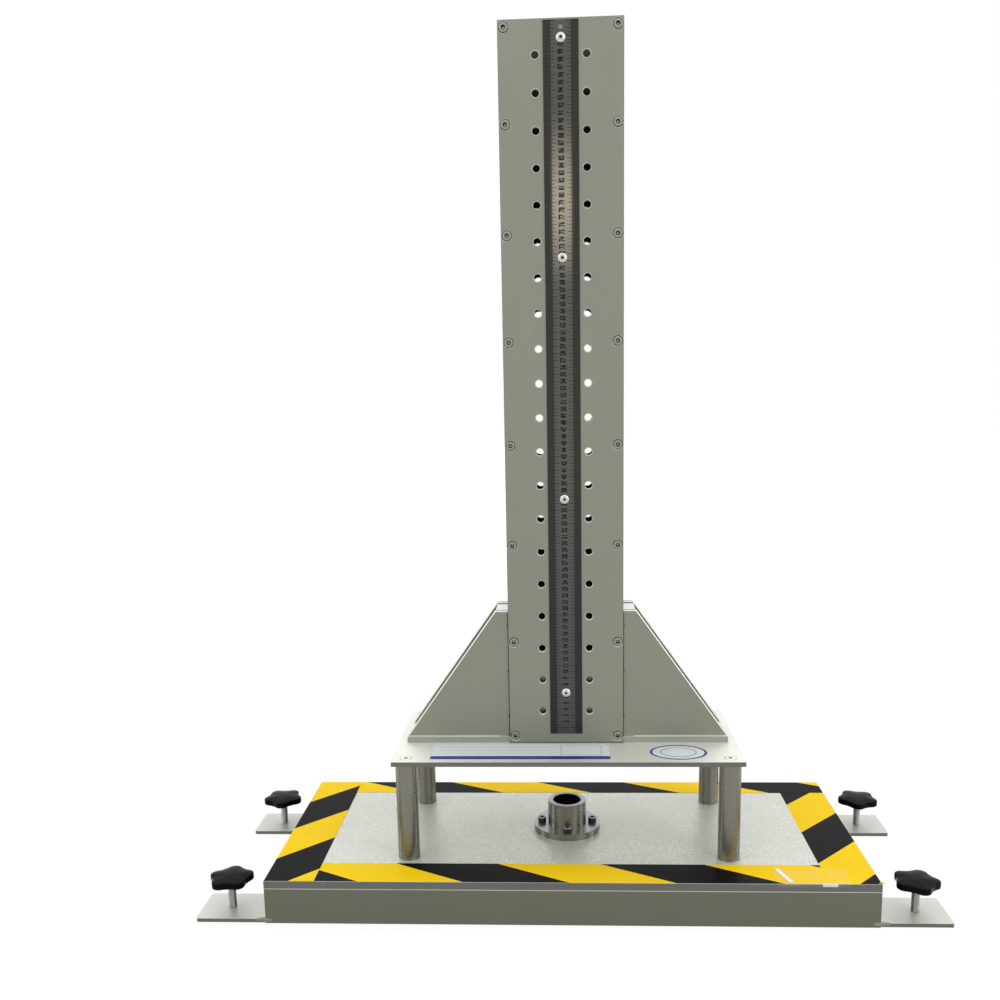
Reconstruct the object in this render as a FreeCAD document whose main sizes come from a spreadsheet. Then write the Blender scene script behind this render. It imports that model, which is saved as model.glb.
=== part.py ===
import FreeCAD, Part
import math
import os

import Sketcher

# Falling weight impact tester. Millimetres, +Z up. The origin is on the floor, in the middle of the
# plinth and under the axis of the anvil bush. The front, with the rule on it, faces -Y.

Vector = FreeCAD.Vector

SIZES = {
    # Plinth: mitred channels, cross rails and an anvil block under a thick top plate.
    "base_length": 894,
    "base_width": 381,
    "base_height": 66.5,
    "base_plate_thickness": 12,
    "rail_width": 50,
    "rail_wall": 4,
    "cross_rail_spacing": 300,
    "anvil_block_side": 150,
    # Foot plates with levelling screws.
    "foot_length": 105,
    "foot_width": 76,
    "foot_thickness": 6,
    "foot_inset": 1.5,
    "foot_corner_radius": 4,
    "stud_diameter": 12,
    "stud_offset": 61,
    "stud_tip_chamfer": 1.5,
    "stud_grip": 13,
    "thread_clearance": 0.1,
    "knob_clearance": 0.05,
    # Star knobs.
    "knob_diameter": 67,
    "knob_lobes": 5,
    "lobe_radius": 11.5,
    "lobe_reach": 60,
    "knob_lift": 39.5,
    "knob_hub_diameter": 36,
    "knob_hub_foot_diameter": 15,
    "knob_hub_height": 6,
    "knob_rim_height": 10,
    "knob_crown": 2,
    "knob_crown_flat": 30,
    "knob_edge": 1.5,
    # How far each knob is turned from a lobe that points to +X, in degrees.
    "knob_turn_front_left": 2,
    "knob_turn_front_right": 8,
    "knob_turn_rear_left": 43,
    "knob_turn_rear_right": -15,
    # Anvil bush and its cap screws.
    "bush_diameter": 61.2,
    "bush_bore": 43.8,
    "bush_height": 48.4,
    "bush_edge": 1.2,
    "flange_diameter": 106,
    "flange_thickness": 10,
    "bush_bolt_circle": 81,
    "bush_screw_diameter": 8,
    "bush_head_diameter": 13,
    "bush_head_height": 8,
    "bush_screw_reach": 20,
    # Columns and their fasteners.
    "column_diameter": 33,
    "column_length": 150.7,
    "column_inset_x": 20.3,
    "column_inset_y": 18,
    "column_screw_diameter": 10,
    "column_screw_reach": 26,
    "column_head_diameter": 19,
    "column_bolt_head_diameter": 19,
    "column_bolt_head_height": 7,
    # Platform.
    "platform_length": 526,
    "platform_width": 249,
    "platform_thickness": 7.5,
    "platform_opening": 56,
    # Tower: front, rear and two grooved side plates.
    "tower_width": 176,
    "tower_depth": 82,
    "tower_height": 1049.4,
    "face_plate_thickness": 8,
    "face_plate_lift": 1.5,
    "side_plate_thickness": 16,
    "groove_width": 14,
    "groove_depth": 5,
    "pin_pitch": 50,
    "pin_first": 52.4,
    "pin_headroom": 45,
    "pin_spacing": 72,
    "pin_hole_diameter": 10.5,
    "pin_rear_diameter": 16,
    "pin_hole_chamfer": 1,
    "edge_screw_inset": 8.5,
    "edge_screw_first": 12,
    "edge_screw_pitch": 150,
    "edge_screw_gap": 100,
    "edge_screw_top": 9.8,
    "edge_screw_diameter": 8,
    "edge_head_diameter": 16,
    "edge_screw_reach": 24,
    "screw_clearance": 0.2,
    # Steel rule.
    "rule_width": 49.5,
    "rule_thickness": 1.2,
    "rule_lift": 15.6,
    "rule_headroom": 2.8,
    "rule_screw_first": 66,
    "rule_screw_second": 366,
    "rule_screw_third": 714,
    "rule_screw_top": 23,
    "rule_screw_diameter": 5,
    "rule_head_diameter": 14,
    "rule_head_height": 2.4,
    "rule_hang_hole": 7,
    "rule_hang_inset": 9,
    # Gussets beside the tower.
    "gusset_height": 210.4,
    "gusset_top_width": 20,
    "gusset_margin": 13,
    "gusset_thickness": 8,
    "gusset_setback": 4,
    "gusset_foot_thickness": 9.6,
    "gusset_foot_ledge": 2,
    "cap_thickness": 6,
    "cap_drop": 3,
    # Falling weight, its striker, guide shoes and lifting eye, and the buffer under it.
    "buffer_thickness": 15,
    "buffer_clearance": 0.5,
    "buffer_hole": 48,
    "weight_rest_gap": 0.3,
    "weight_width": 118,
    "weight_depth": 56,
    "weight_height": 110,
    "weight_chamfer": 3,
    "shoe_width": 40,
    "shoe_height": 96,
    "guide_clearance": 0.3,
    "groove_tip_clearance": 0.6,
    "striker_diameter": 38,
    "striker_length": 64,
    "striker_edge": 4,
    "striker_spigot_diameter": 20,
    "striker_spigot_length": 24,
    "spigot_clearance": 0.1,
    "eye_diameter": 30,
    "eye_wire": 8,
    "eye_collar_diameter": 20,
    "eye_collar_height": 4,
    "eye_screw_diameter": 10,
    "eye_screw_reach": 16,
}

doc = FreeCAD.newDocument("FallingWeightTester")
sheet = doc.addObject("Spreadsheet::Sheet", "Sizes")
for row, (alias, size) in enumerate(SIZES.items(), start=1):
    sheet.set(f"A{row}", alias)
    sheet.set(f"B{row}", str(size))
    sheet.setAlias(f"B{row}", alias)
doc.recompute()

# Places that follow from the sizes, as expressions.
HALF_LENGTH = "Sizes.base_length / 2"
HALF_WIDTH = "Sizes.base_width / 2"
BASE_TOP = "Sizes.base_height"
RAIL_TOP = "(Sizes.base_height - Sizes.base_plate_thickness)"
PLATFORM_BOTTOM = "(Sizes.base_height + Sizes.column_length)"
PLATFORM_TOP = f"({PLATFORM_BOTTOM} + Sizes.platform_thickness)"
TOWER_TOP = f"({PLATFORM_TOP} + Sizes.tower_height)"
TOWER_HALF = "Sizes.tower_width / 2"
TOWER_FACE = "Sizes.tower_depth / 2"
CHANNEL_HALF = "(Sizes.tower_width / 2 - Sizes.side_plate_thickness)"
CHANNEL_DEPTH = "(Sizes.tower_depth / 2 - Sizes.face_plate_thickness)"
GUSSET_FACE = "(Sizes.tower_depth / 2 - Sizes.gusset_setback)"
GUSSET_BOTTOM = f"({PLATFORM_TOP} + Sizes.gusset_foot_thickness)"
GUSSET_TOP = f"({PLATFORM_TOP} + Sizes.gusset_height)"
COLUMN_X = "(Sizes.platform_length / 2 - Sizes.column_inset_x)"
COLUMN_Y = "(Sizes.platform_width / 2 - Sizes.column_inset_y)"
STUD_X = "(Sizes.base_length / 2 + Sizes.stud_offset)"
STUD_Y = "(Sizes.base_width / 2 - Sizes.foot_inset - Sizes.foot_width / 2)"
WEIGHT_BOTTOM = f"({PLATFORM_TOP} + Sizes.buffer_thickness + Sizes.weight_rest_gap)"
WEIGHT_TOP = f"({WEIGHT_BOTTOM} + Sizes.weight_height)"
EDGE_X = "(Sizes.tower_width / 2 - Sizes.edge_screw_inset)"
PIN_ROWS = "floor((Sizes.tower_height - Sizes.pin_first - Sizes.pin_headroom) / Sizes.pin_pitch) + 1"
EDGE_SPAN = "(Sizes.tower_height - Sizes.edge_screw_first - Sizes.edge_screw_top - Sizes.edge_screw_gap)"
EDGE_SCREWS = f"floor({EDGE_SPAN} / Sizes.edge_screw_pitch) + 1"
RULE_LENGTH = "(Sizes.tower_height - Sizes.rule_lift - Sizes.rule_headroom)"
GUSSET_TOE = "(Sizes.platform_length / 2 - Sizes.gusset_margin)"
RULE_BOTTOM = f"({PLATFORM_TOP} + Sizes.rule_lift)"

parts = []


def amount(expression):
    """The number that an expression on the sheet gives now."""
    return float(sheet.evalExpression(expression))


def signed(sign, expression):
    return f"{sign} * ({expression})"


def new_body(label):
    body = doc.addObject("PartDesign::Body", label)
    body.Label = label
    parts.append(body)
    return body


def new_feature(label, shape):
    """A sub-part whose shape is made by Part's own functions."""
    feature = doc.addObject("Part::Feature", label)
    feature.Label = label
    feature.Shape = shape
    parts.append(feature)
    return feature


def new_sketch(body, name, role, start):
    """A sketch parallel to one of the body's origin planes, start away along its normal."""
    sketch = body.newObject("Sketcher::SketchObject", name)
    plane = next(item for item in body.Origin.OriginFeatures if item.Role == role)
    sketch.AttachmentSupport = [(plane, "")]
    sketch.MapMode = "FlatFace"
    sketch.setExpression("AttachmentOffset.Base.z", start)
    return sketch


def bind(sketch, kind, geometry, point, expression):
    """Ties one coordinate of a point to an expression."""
    index = sketch.addConstraint(Sketcher.Constraint(kind, -1, 1, geometry, point, amount(expression)))
    sketch.setExpression(f"Constraints[{index}]", expression)


def add_outline(sketch, points):
    """A closed outline of straight lines through points that are pairs of expressions."""
    first = sketch.GeometryCount
    places = [Vector(amount(x), amount(y), 0) for x, y in points]
    count = len(places)
    for i in range(count):
        sketch.addGeometry(Part.LineSegment(places[i], places[(i + 1) % count]), False)
    for i in range(count):
        sketch.addConstraint(Sketcher.Constraint("Coincident", first + i, 2, first + (i + 1) % count, 1))
    for i, (x, y) in enumerate(points):
        bind(sketch, "DistanceX", first + i, 1, x)
        bind(sketch, "DistanceY", first + i, 1, y)


def add_circle(sketch, x, y, diameter):
    """A circle whose centre and diameter are expressions. A centre on an axis is given as "0"."""
    geometry = sketch.GeometryCount
    centre = Vector(amount(x), amount(y), 0)
    sketch.addGeometry(Part.Circle(centre, Vector(0, 0, 1), amount(diameter) / 2), False)
    index = sketch.addConstraint(Sketcher.Constraint("Diameter", geometry, amount(diameter)))
    sketch.setExpression(f"Constraints[{index}]", diameter)
    if x == "0":
        sketch.addConstraint(Sketcher.Constraint("PointOnObject", geometry, 3, -2))
    else:
        bind(sketch, "DistanceX", geometry, 3, x)
    if y == "0":
        sketch.addConstraint(Sketcher.Constraint("PointOnObject", geometry, 3, -1))
    else:
        bind(sketch, "DistanceY", geometry, 3, y)


def box_points(left, right, low, high):
    return [(left, low), (right, low), (right, high), (left, high)]


def pad(body, sketch, length):
    feature = body.newObject("PartDesign::Pad", sketch.Name + "_pad")
    feature.Profile = sketch
    feature.setExpression("Length", length)
    body.Tip = feature
    doc.recompute()
    return feature


def slab(label, role, start, thickness, points):
    """A flat plate: an outline on the plane that role names, padded by thickness along its normal."""
    body = new_body(label)
    sketch = new_sketch(body, label + "_outline", role, start)
    add_outline(sketch, points)
    pad(body, sketch, thickness)
    return body


def cut_outline(body, name, role, start, outlines):
    """Cuts outlines right through, against the normal of the sketch's plane."""
    before = body.Shape.Volume
    sketch = new_sketch(body, name, role, start)
    for points in outlines:
        add_outline(sketch, points)
    feature = body.newObject("PartDesign::Pocket", name + "_pocket")
    feature.Profile = sketch
    feature.Type = "ThroughAll"
    body.Tip = feature
    doc.recompute()
    assert body.Shape.Volume < before, f"{name} cuts nothing"
    return feature


def drill(body, name, role, start, centres, diameter, depth=None, head=None, reverse=False, rows=None):
    """Round holes from a face inwards, countersunk to the head diameter if one is given.

    rows is the number and the spacing of repeats along the sketch's vertical axis.
    """
    before = body.Shape.Volume
    sketch = new_sketch(body, name, role, start)
    for x, y in centres:
        add_circle(sketch, x, y, diameter)
    doc.recompute()
    hole = body.newObject("PartDesign::Hole", name + "_hole")
    hole.Profile = sketch
    hole.Reversed = reverse
    hole.setExpression("Diameter", diameter)
    hole.DrillPoint = "Flat"
    if depth is None:
        hole.DepthType = "ThroughAll"
    else:
        hole.DepthType = "Dimension"
        hole.setExpression("Depth", depth)
    if head is not None:
        hole.HoleCutType = "Countersink"
        hole.HoleCutCountersinkAngle = 90
        hole.setExpression("HoleCutDiameter", head)
    body.Tip = hole
    if rows is not None:
        pattern = body.newObject("PartDesign::LinearPattern", name + "_rows")
        pattern.Originals = [hole]
        pattern.Direction = (sketch, ["V_Axis"])
        pattern.Mode = "Spacing"
        pattern.setExpression("Occurrences", rows[0])
        pattern.setExpression("Offset", rows[1])
        body.Tip = pattern
    doc.recompute()
    assert body.Shape.Volume < before, f"{name} cuts nothing"
    return hole


def round_corners(body, radius, is_wanted):
    """Fillets the upright edges whose midpoint is_wanted accepts."""
    base = body.Tip
    names = []
    for index, edge in enumerate(base.Shape.Edges, start=1):
        low, high = edge.BoundBox.ZMin, edge.BoundBox.ZMax
        upright = high - low > 0.9 * edge.Length
        if upright and is_wanted(edge.CenterOfMass):
            names.append(f"Edge{index}")
    fillet = body.newObject("PartDesign::Fillet", body.Name + "_corners")
    fillet.Base = (base, names)
    fillet.setExpression("Radius", radius)
    body.Tip = fillet
    doc.recompute()


def turned(points):
    """A solid of revolution about Z, from (radius, height) pairs that start and end on the axis."""
    corners = [Vector(radius, 0, height) for radius, height in points]
    face = Part.Face(Part.makePolygon(corners + corners[:1]))
    return face.revolve(Vector(0, 0, 0), Vector(0, 0, 1), 360)


def placed(shape, places):
    """Copies of one solid, as a group of separate solids."""
    copies = []
    for place in places:
        copy = shape.copy()
        copy.translate(place)
        copies.append(copy)
    return Part.makeCompound(copies)


def four_corners(x, y, z):
    return [Vector(i * x, j * y, z) for i in (-1, 1) for j in (-1, 1)]


def fastener(diameter, reach, head_points):
    """A screw that points down, its head above zero: a plain shank and a turned head."""
    radius = diameter / 2
    return turned([(0, -reach), (radius, -reach), (radius, 0), *head_points])


def countersunk(diameter, head_diameter, reach):
    """A screw that points down, with its flat head flush at zero."""
    radius = diameter / 2
    head = head_diameter / 2
    return turned([(0, -reach), (radius, -reach), (radius, radius - head), (head, 0), (0, 0)])


def make_channel(label, role, half_run, half_across, side):
    """One plinth rail: a channel that opens inwards, mitred at both ends."""
    body = new_body(label)
    web = signed(side, half_across)
    inner = signed(side, f"{half_across} - Sizes.rail_wall")
    tip = signed(side, f"{half_across} - Sizes.rail_width")
    # A wall's thickness above the floor, and below the rail's top.
    shelf = f"{RAIL_TOP} - Sizes.rail_wall"
    profile = [(web, "0"), (tip, "0"), (tip, "Sizes.rail_wall"), (inner, "Sizes.rail_wall")]
    profile += [(inner, shelf), (tip, shelf), (tip, RAIL_TOP), (web, RAIL_TOP)]
    sketch = new_sketch(body, label + "_profile", role, f"-({half_run})")
    add_outline(sketch, profile)
    pad(body, sketch, f"2 * ({half_run})")
    mitres = []
    for end in (-1, 1):
        corner = signed(end, half_run)
        back = signed(end, f"{half_run} - Sizes.rail_width")
        triangle = [(corner, web), (corner, tip), (back, tip)]
        if role == "XZ_Plane":
            triangle = [(across, along) for along, across in triangle]
        mitres.append(triangle)
    cut_outline(body, label + "_mitres", "XY_Plane", RAIL_TOP, mitres)
    return body


def make_cross_rail(label, side):
    """A square tube between the long rails, under the top plate."""
    body = new_body(label)
    middle = "Sizes.cross_rail_spacing / 2"
    near = signed(side, f"{middle} - Sizes.rail_width / 2")
    far = signed(side, f"{middle} + Sizes.rail_width / 2")
    near_inner = signed(side, f"{middle} - Sizes.rail_width / 2 + Sizes.rail_wall")
    far_inner = signed(side, f"{middle} + Sizes.rail_width / 2 - Sizes.rail_wall")
    reach = f"({HALF_WIDTH} - Sizes.rail_width)"
    sketch = new_sketch(body, label + "_profile", "XZ_Plane", f"-{reach}")
    add_outline(sketch, box_points(near, far, "0", RAIL_TOP))
    shelf = f"{RAIL_TOP} - Sizes.rail_wall"
    add_outline(sketch, box_points(near_inner, far_inner, "Sizes.rail_wall", shelf))
    pad(body, sketch, f"2 * {reach}")
    return body


def make_plinth():
    front, rear, left, right = -1, 1, -1, 1
    make_channel("front_rail", "YZ_Plane", HALF_LENGTH, HALF_WIDTH, front)
    make_channel("rear_rail", "YZ_Plane", HALF_LENGTH, HALF_WIDTH, rear)
    make_channel("left_rail", "XZ_Plane", HALF_WIDTH, HALF_LENGTH, left)
    make_channel("right_rail", "XZ_Plane", HALF_WIDTH, HALF_LENGTH, right)
    make_cross_rail("cross_rail_left", left)
    make_cross_rail("cross_rail_right", right)

    block = doc.addObject("Part::Box", "anvil_block")
    block.Label = "anvil_block"
    block.setExpression("Length", "Sizes.anvil_block_side")
    block.setExpression("Width", "Sizes.anvil_block_side")
    block.setExpression("Height", RAIL_TOP)
    block.setExpression("Placement.Base.x", "-Sizes.anvil_block_side / 2")
    block.setExpression("Placement.Base.y", "-Sizes.anvil_block_side / 2")
    parts.append(block)

    outline = box_points(f"-{HALF_LENGTH}", HALF_LENGTH, f"-{HALF_WIDTH}", HALF_WIDTH)
    top = slab("base_top_plate", "XY_Plane", RAIL_TOP, "Sizes.base_plate_thickness", outline)
    columns = [(signed(i, COLUMN_X), signed(j, COLUMN_Y)) for i in (-1, 1) for j in (-1, 1)]
    bolt_hole = "Sizes.column_screw_diameter + 2 * Sizes.screw_clearance"
    drill(top, "column_bolt_holes", "XY_Plane", BASE_TOP, columns, bolt_hole)
    circle = "Sizes.bush_bolt_circle / 2"
    taps = [(circle, "0"), (f"-{circle}", "0"), ("0", circle), ("0", f"-{circle}")]
    tap = "Sizes.bush_screw_diameter + 2 * Sizes.thread_clearance"
    drill(top, "bush_screw_taps", "XY_Plane", BASE_TOP, taps, tap)


def make_foot(side, end, place):
    """One foot plate, its levelling stud and its star knob."""
    outer = f"{HALF_LENGTH} + Sizes.foot_length"
    edge = f"{HALF_WIDTH} - Sizes.foot_inset"
    near = signed(side, HALF_LENGTH)
    far = signed(side, outer)
    outline = box_points(near, far, signed(end, f"{edge} - Sizes.foot_width"), signed(end, edge))
    plate = slab("foot_plate_" + place, "XY_Plane", "0", "Sizes.foot_thickness", outline)
    limit = amount(HALF_LENGTH) + amount("Sizes.foot_length") / 2
    round_corners(plate, "Sizes.foot_corner_radius", lambda middle: abs(middle.x) > limit)
    centre = (signed(side, STUD_X), signed(end, STUD_Y))
    tap = "Sizes.stud_diameter + 2 * Sizes.thread_clearance"
    drill(plate, "stud_tap_" + place, "XY_Plane", "Sizes.foot_thickness", [centre], tap)

    stud_place = Vector(amount(centre[0]), amount(centre[1]), 0)
    radius = amount("Sizes.stud_diameter") / 2
    chamfer = amount("Sizes.stud_tip_chamfer")
    top = amount("Sizes.knob_lift + Sizes.stud_grip")
    profile = [(0, 0), (radius - chamfer, 0), (radius, chamfer), (radius, top - chamfer)]
    profile += [(radius - chamfer, top), (0, top)]
    stud = new_feature("levelling_stud_" + place, turned(profile))
    stud.Placement = FreeCAD.Placement(stud_place, FreeCAD.Rotation())

    knob = new_feature("star_knob_" + place, star_knob())
    knob_place = stud_place + Vector(0, 0, amount("Sizes.knob_lift"))
    turn = amount(f"Sizes.knob_turn_{place}")
    knob.Placement = FreeCAD.Placement(knob_place, FreeCAD.Rotation(Vector(0, 0, 1), turn))


def star_outline(height):
    """The lobed prism of a star knob: convex lobe arcs joined by tangent hollows."""
    lobes = round(amount("Sizes.knob_lobes"))
    lobe = amount("Sizes.lobe_radius")
    lobe_centre = amount("Sizes.knob_diameter") / 2 - lobe
    hollow_centre = amount("Sizes.lobe_reach")
    half_step = math.pi / lobes
    # The hollow's radius follows from its circle touching the two lobe circles beside it.
    span = math.sqrt(
        lobe_centre**2 + hollow_centre**2 - 2 * lobe_centre * hollow_centre * math.cos(half_step)
    )
    hollow = span - lobe

    def at(distance, angle):
        return Vector(distance * math.cos(angle), distance * math.sin(angle), 0)

    edges = []
    for i in range(lobes):
        middle = 2 * i * half_step
        centre = at(lobe_centre, middle)
        before = at(hollow_centre, middle - half_step)
        after = at(hollow_centre, middle + half_step)
        following = at(lobe_centre, middle + 2 * half_step)
        start = centre + (before - centre) * (lobe / span)
        end = centre + (after - centre) * (lobe / span)
        tip = at(lobe_centre + lobe, middle)
        edges.append(Part.Arc(start, tip, end).toShape())
        valley = at(hollow_centre - hollow, middle + half_step)
        landing = following + (after - following) * (lobe / span)
        edges.append(Part.Arc(end, valley, landing).toShape())
    return Part.Face(Part.Wire(edges)).extrude(Vector(0, 0, height))


def star_knob():
    """A star knob about Z, with the foot of its hub at zero."""
    hub_height = amount("Sizes.knob_hub_height")
    rim = amount("Sizes.knob_rim_height")
    crown = amount("Sizes.knob_crown")
    edge = amount("Sizes.knob_edge")
    radius = amount("Sizes.knob_diameter") / 2
    flat = amount("Sizes.knob_crown_flat") / 2
    top = hub_height + rim + crown
    star = star_outline(top)
    crown_form = [(0, hub_height), (radius - edge, hub_height), (radius, hub_height + edge)]
    crown_form += [(radius, hub_height + rim - edge), (radius - edge, hub_height + rim)]
    crown_form += [(flat, top), (0, top)]
    head = star.common(turned(crown_form))
    hub_radius = amount("Sizes.knob_hub_diameter") / 2
    foot_radius = amount("Sizes.knob_hub_foot_diameter") / 2
    overlap = rim / 2
    hub_form = [(0, 0), (foot_radius, 0), (hub_radius, hub_height), (hub_radius, hub_height + overlap)]
    hub = turned(hub_form + [(0, hub_height + overlap)])
    bore_radius = amount("Sizes.stud_diameter / 2 + Sizes.knob_clearance")
    bore_depth = amount("Sizes.stud_grip + Sizes.screw_clearance")
    bore = Part.makeCylinder(bore_radius, bore_depth)
    return head.fuse(hub).cut(bore).removeSplitter()


def make_bush():
    """The flanged anvil bush, turned and drilled for its cap screws."""
    body = new_body("anvil_bush")
    sketch = new_sketch(body, "bush_profile", "XZ_Plane", "0")
    bore = "Sizes.bush_bore / 2"
    wall = "Sizes.bush_diameter / 2"
    flange = "Sizes.flange_diameter / 2"
    flange_top = f"{BASE_TOP} + Sizes.flange_thickness"
    top = f"{BASE_TOP} + Sizes.bush_height"
    profile = [(bore, BASE_TOP), (flange, BASE_TOP), (flange, flange_top), (wall, flange_top)]
    profile += [(wall, f"{top} - Sizes.bush_edge"), (f"{wall} - Sizes.bush_edge", top)]
    profile += [(f"{bore} + Sizes.bush_edge", top), (bore, f"{top} - Sizes.bush_edge")]
    add_outline(sketch, profile)
    turn = body.newObject("PartDesign::Revolution", "bush_turning")
    turn.Profile = sketch
    turn.ReferenceAxis = (sketch, ["V_Axis"])
    turn.Angle = 360
    body.Tip = turn
    doc.recompute()

    hole = "Sizes.bush_screw_diameter + 2 * Sizes.screw_clearance"
    centre = ("Sizes.bush_bolt_circle / 2", "0")
    first = drill(body, "bush_screw_holes", "XY_Plane", flange_top, [centre], hole)
    ring = body.newObject("PartDesign::PolarPattern", "bush_screw_ring")
    ring.Originals = [first]
    ring.Axis = (first.Profile[0], ["N_Axis"])
    ring.Angle = 360
    ring.Occurrences = 4
    body.Tip = ring
    doc.recompute()

    head = amount("Sizes.bush_head_diameter") / 2
    head_height = amount("Sizes.bush_head_height")
    reach = amount("Sizes.bush_screw_reach")
    shank = amount("Sizes.bush_screw_diameter")
    screw = fastener(shank, reach, [(head, 0), (head, head_height), (0, head_height)])
    circle = amount("Sizes.bush_bolt_circle") / 2
    height = amount(flange_top)
    places = [Vector(i * circle, j * circle, height) for i, j in ((1, 0), (0, 1), (-1, 0), (0, -1))]
    new_feature("bush_screws", placed(screw, places))


def make_columns():
    tap = "Sizes.column_screw_diameter + 2 * Sizes.thread_clearance"
    tap_depth = "Sizes.column_screw_reach + Sizes.screw_clearance"
    for place, i, j in (
        ("front_left", -1, -1),
        ("front_right", 1, -1),
        ("rear_left", -1, 1),
        ("rear_right", 1, 1),
    ):
        body = new_body("column_" + place)
        centre = (signed(i, COLUMN_X), signed(j, COLUMN_Y))
        sketch = new_sketch(body, "column_section_" + place, "XY_Plane", BASE_TOP)
        add_circle(sketch, centre[0], centre[1], "Sizes.column_diameter")
        pad(body, sketch, "Sizes.column_length")
        drill(body, "top_tap_" + place, "XY_Plane", PLATFORM_BOTTOM, [centre], tap, depth=tap_depth)
        drill(body, "foot_tap_" + place, "XY_Plane", BASE_TOP, [centre], tap, depth=tap_depth, reverse=True)

    x, y = amount(COLUMN_X), amount(COLUMN_Y)
    shank = amount("Sizes.column_screw_diameter")
    thickness = amount("Sizes.platform_thickness")
    reach = amount("Sizes.column_screw_reach")
    head = amount("Sizes.column_head_diameter")
    screw = countersunk(shank, head, reach + thickness)
    new_feature("column_top_screws", placed(screw, four_corners(x, y, amount(PLATFORM_TOP))))

    # Hex bolts come up from under the top plate into the columns.
    grip = amount("Sizes.base_plate_thickness") + reach
    height = amount("Sizes.column_bolt_head_height")
    across = amount("Sizes.column_bolt_head_diameter") / 2
    corners = [
        Vector(across * math.cos(math.radians(60 * i)), across * math.sin(math.radians(60 * i)), 0)
        for i in range(6)
    ]
    hexagon = Part.Face(Part.makePolygon(corners + corners[:1])).extrude(Vector(0, 0, -height))
    bolt = hexagon.fuse(Part.makeCylinder(shank / 2, grip))
    new_feature("column_foot_bolts", placed(bolt, four_corners(x, y, amount(RAIL_TOP))))


def make_platform():
    x, y = "Sizes.platform_length / 2", "Sizes.platform_width / 2"
    outline = box_points(f"-{x}", x, f"-{y}", y)
    plate = slab("platform_plate", "XY_Plane", PLATFORM_BOTTOM, "Sizes.platform_thickness", outline)
    drill(plate, "striker_opening", "XY_Plane", PLATFORM_TOP, [("0", "0")], "Sizes.platform_opening")
    columns = [(signed(i, COLUMN_X), signed(j, COLUMN_Y)) for i in (-1, 1) for j in (-1, 1)]
    hole = "Sizes.column_screw_diameter + 2 * Sizes.screw_clearance"
    head = "Sizes.column_head_diameter + 2 * Sizes.screw_clearance"
    drill(plate, "column_screw_holes", "XY_Plane", PLATFORM_TOP, columns, hole, head=head)


def edge_screw_heights():
    """Heights of the screws along a face plate's edges, bottom to top."""
    count = round(amount(EDGE_SCREWS))
    first = amount(f"{PLATFORM_TOP} + Sizes.edge_screw_first")
    pitch = amount("Sizes.edge_screw_pitch")
    heights = [first + i * pitch for i in range(count)]
    return heights + [amount(f"{TOWER_TOP} - Sizes.edge_screw_top")]


def make_face_plate(label, side, pin_diameter):
    """The tower's front (side -1) or rear (side 1) plate, drilled from its outer face."""
    rear = side > 0
    low = f"{PLATFORM_TOP} + Sizes.face_plate_lift"
    outline = box_points(f"-{TOWER_HALF}", TOWER_HALF, low, TOWER_TOP)
    start = f"-{TOWER_FACE}" if rear else CHANNEL_DEPTH
    body = slab(label, "XZ_Plane", start, "Sizes.face_plate_thickness", outline)
    outer = f"-{TOWER_FACE}" if rear else TOWER_FACE
    half = "Sizes.pin_spacing / 2"
    pin_height = f"{PLATFORM_TOP} + Sizes.pin_first"
    pins = [(signed(i, half), pin_height) for i in (-1, 1)]
    # The pins go in from the front, so only its holes have a lead-in.
    rim = None if rear else f"{pin_diameter} + 2 * Sizes.pin_hole_chamfer"
    rows = (PIN_ROWS, "Sizes.pin_pitch")
    drill(body, label + "_pins", "XZ_Plane", outer, pins, pin_diameter, head=rim, reverse=rear, rows=rows)
    hole = "Sizes.edge_screw_diameter + 2 * Sizes.screw_clearance"
    head = "Sizes.edge_head_diameter + 2 * Sizes.screw_clearance"
    first = f"{PLATFORM_TOP} + Sizes.edge_screw_first"
    last = f"{TOWER_TOP} - Sizes.edge_screw_top"
    edges = [(signed(i, EDGE_X), first) for i in (-1, 1)]
    tops = [(signed(i, EDGE_X), last) for i in (-1, 1)]
    rows = (EDGE_SCREWS, "Sizes.edge_screw_pitch")
    drill(body, label + "_screws", "XZ_Plane", outer, edges, hole, head=head, reverse=rear, rows=rows)
    drill(body, label + "_top_screws", "XZ_Plane", outer, tops, hole, head=head, reverse=rear)
    return body


def make_side_plate(label, side):
    """A side plate with a guide groove down its inner face and taps in both edges."""
    inner = signed(side, CHANNEL_HALF)
    floor = signed(side, f"{CHANNEL_HALF} + Sizes.groove_depth")
    outer = signed(side, TOWER_HALF)
    lip = "Sizes.groove_width / 2"
    outline = [(outer, f"-{CHANNEL_DEPTH}"), (outer, CHANNEL_DEPTH), (inner, CHANNEL_DEPTH), (inner, lip)]
    outline += [(floor, lip), (floor, f"-{lip}"), (inner, f"-{lip}"), (inner, f"-{CHANNEL_DEPTH}")]
    body = slab(label, "XY_Plane", PLATFORM_TOP, "Sizes.tower_height", outline)
    tap = "Sizes.edge_screw_diameter + 2 * Sizes.thread_clearance"
    depth = "Sizes.edge_screw_reach - Sizes.face_plate_thickness + Sizes.screw_clearance"
    first = f"{PLATFORM_TOP} + Sizes.edge_screw_first"
    last = f"{TOWER_TOP} - Sizes.edge_screw_top"
    x = signed(side, EDGE_X)
    rows = (EDGE_SCREWS, "Sizes.edge_screw_pitch")
    for name, start, rear in (("front", CHANNEL_DEPTH, False), ("rear", f"-{CHANNEL_DEPTH}", True)):
        taps = f"{label}_{name}_taps"
        drill(body, taps, "XZ_Plane", start, [(x, first)], tap, depth=depth, reverse=rear, rows=rows)
        drill(body, taps + "_top", "XZ_Plane", start, [(x, last)], tap, depth=depth, reverse=rear)
    return body


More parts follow.
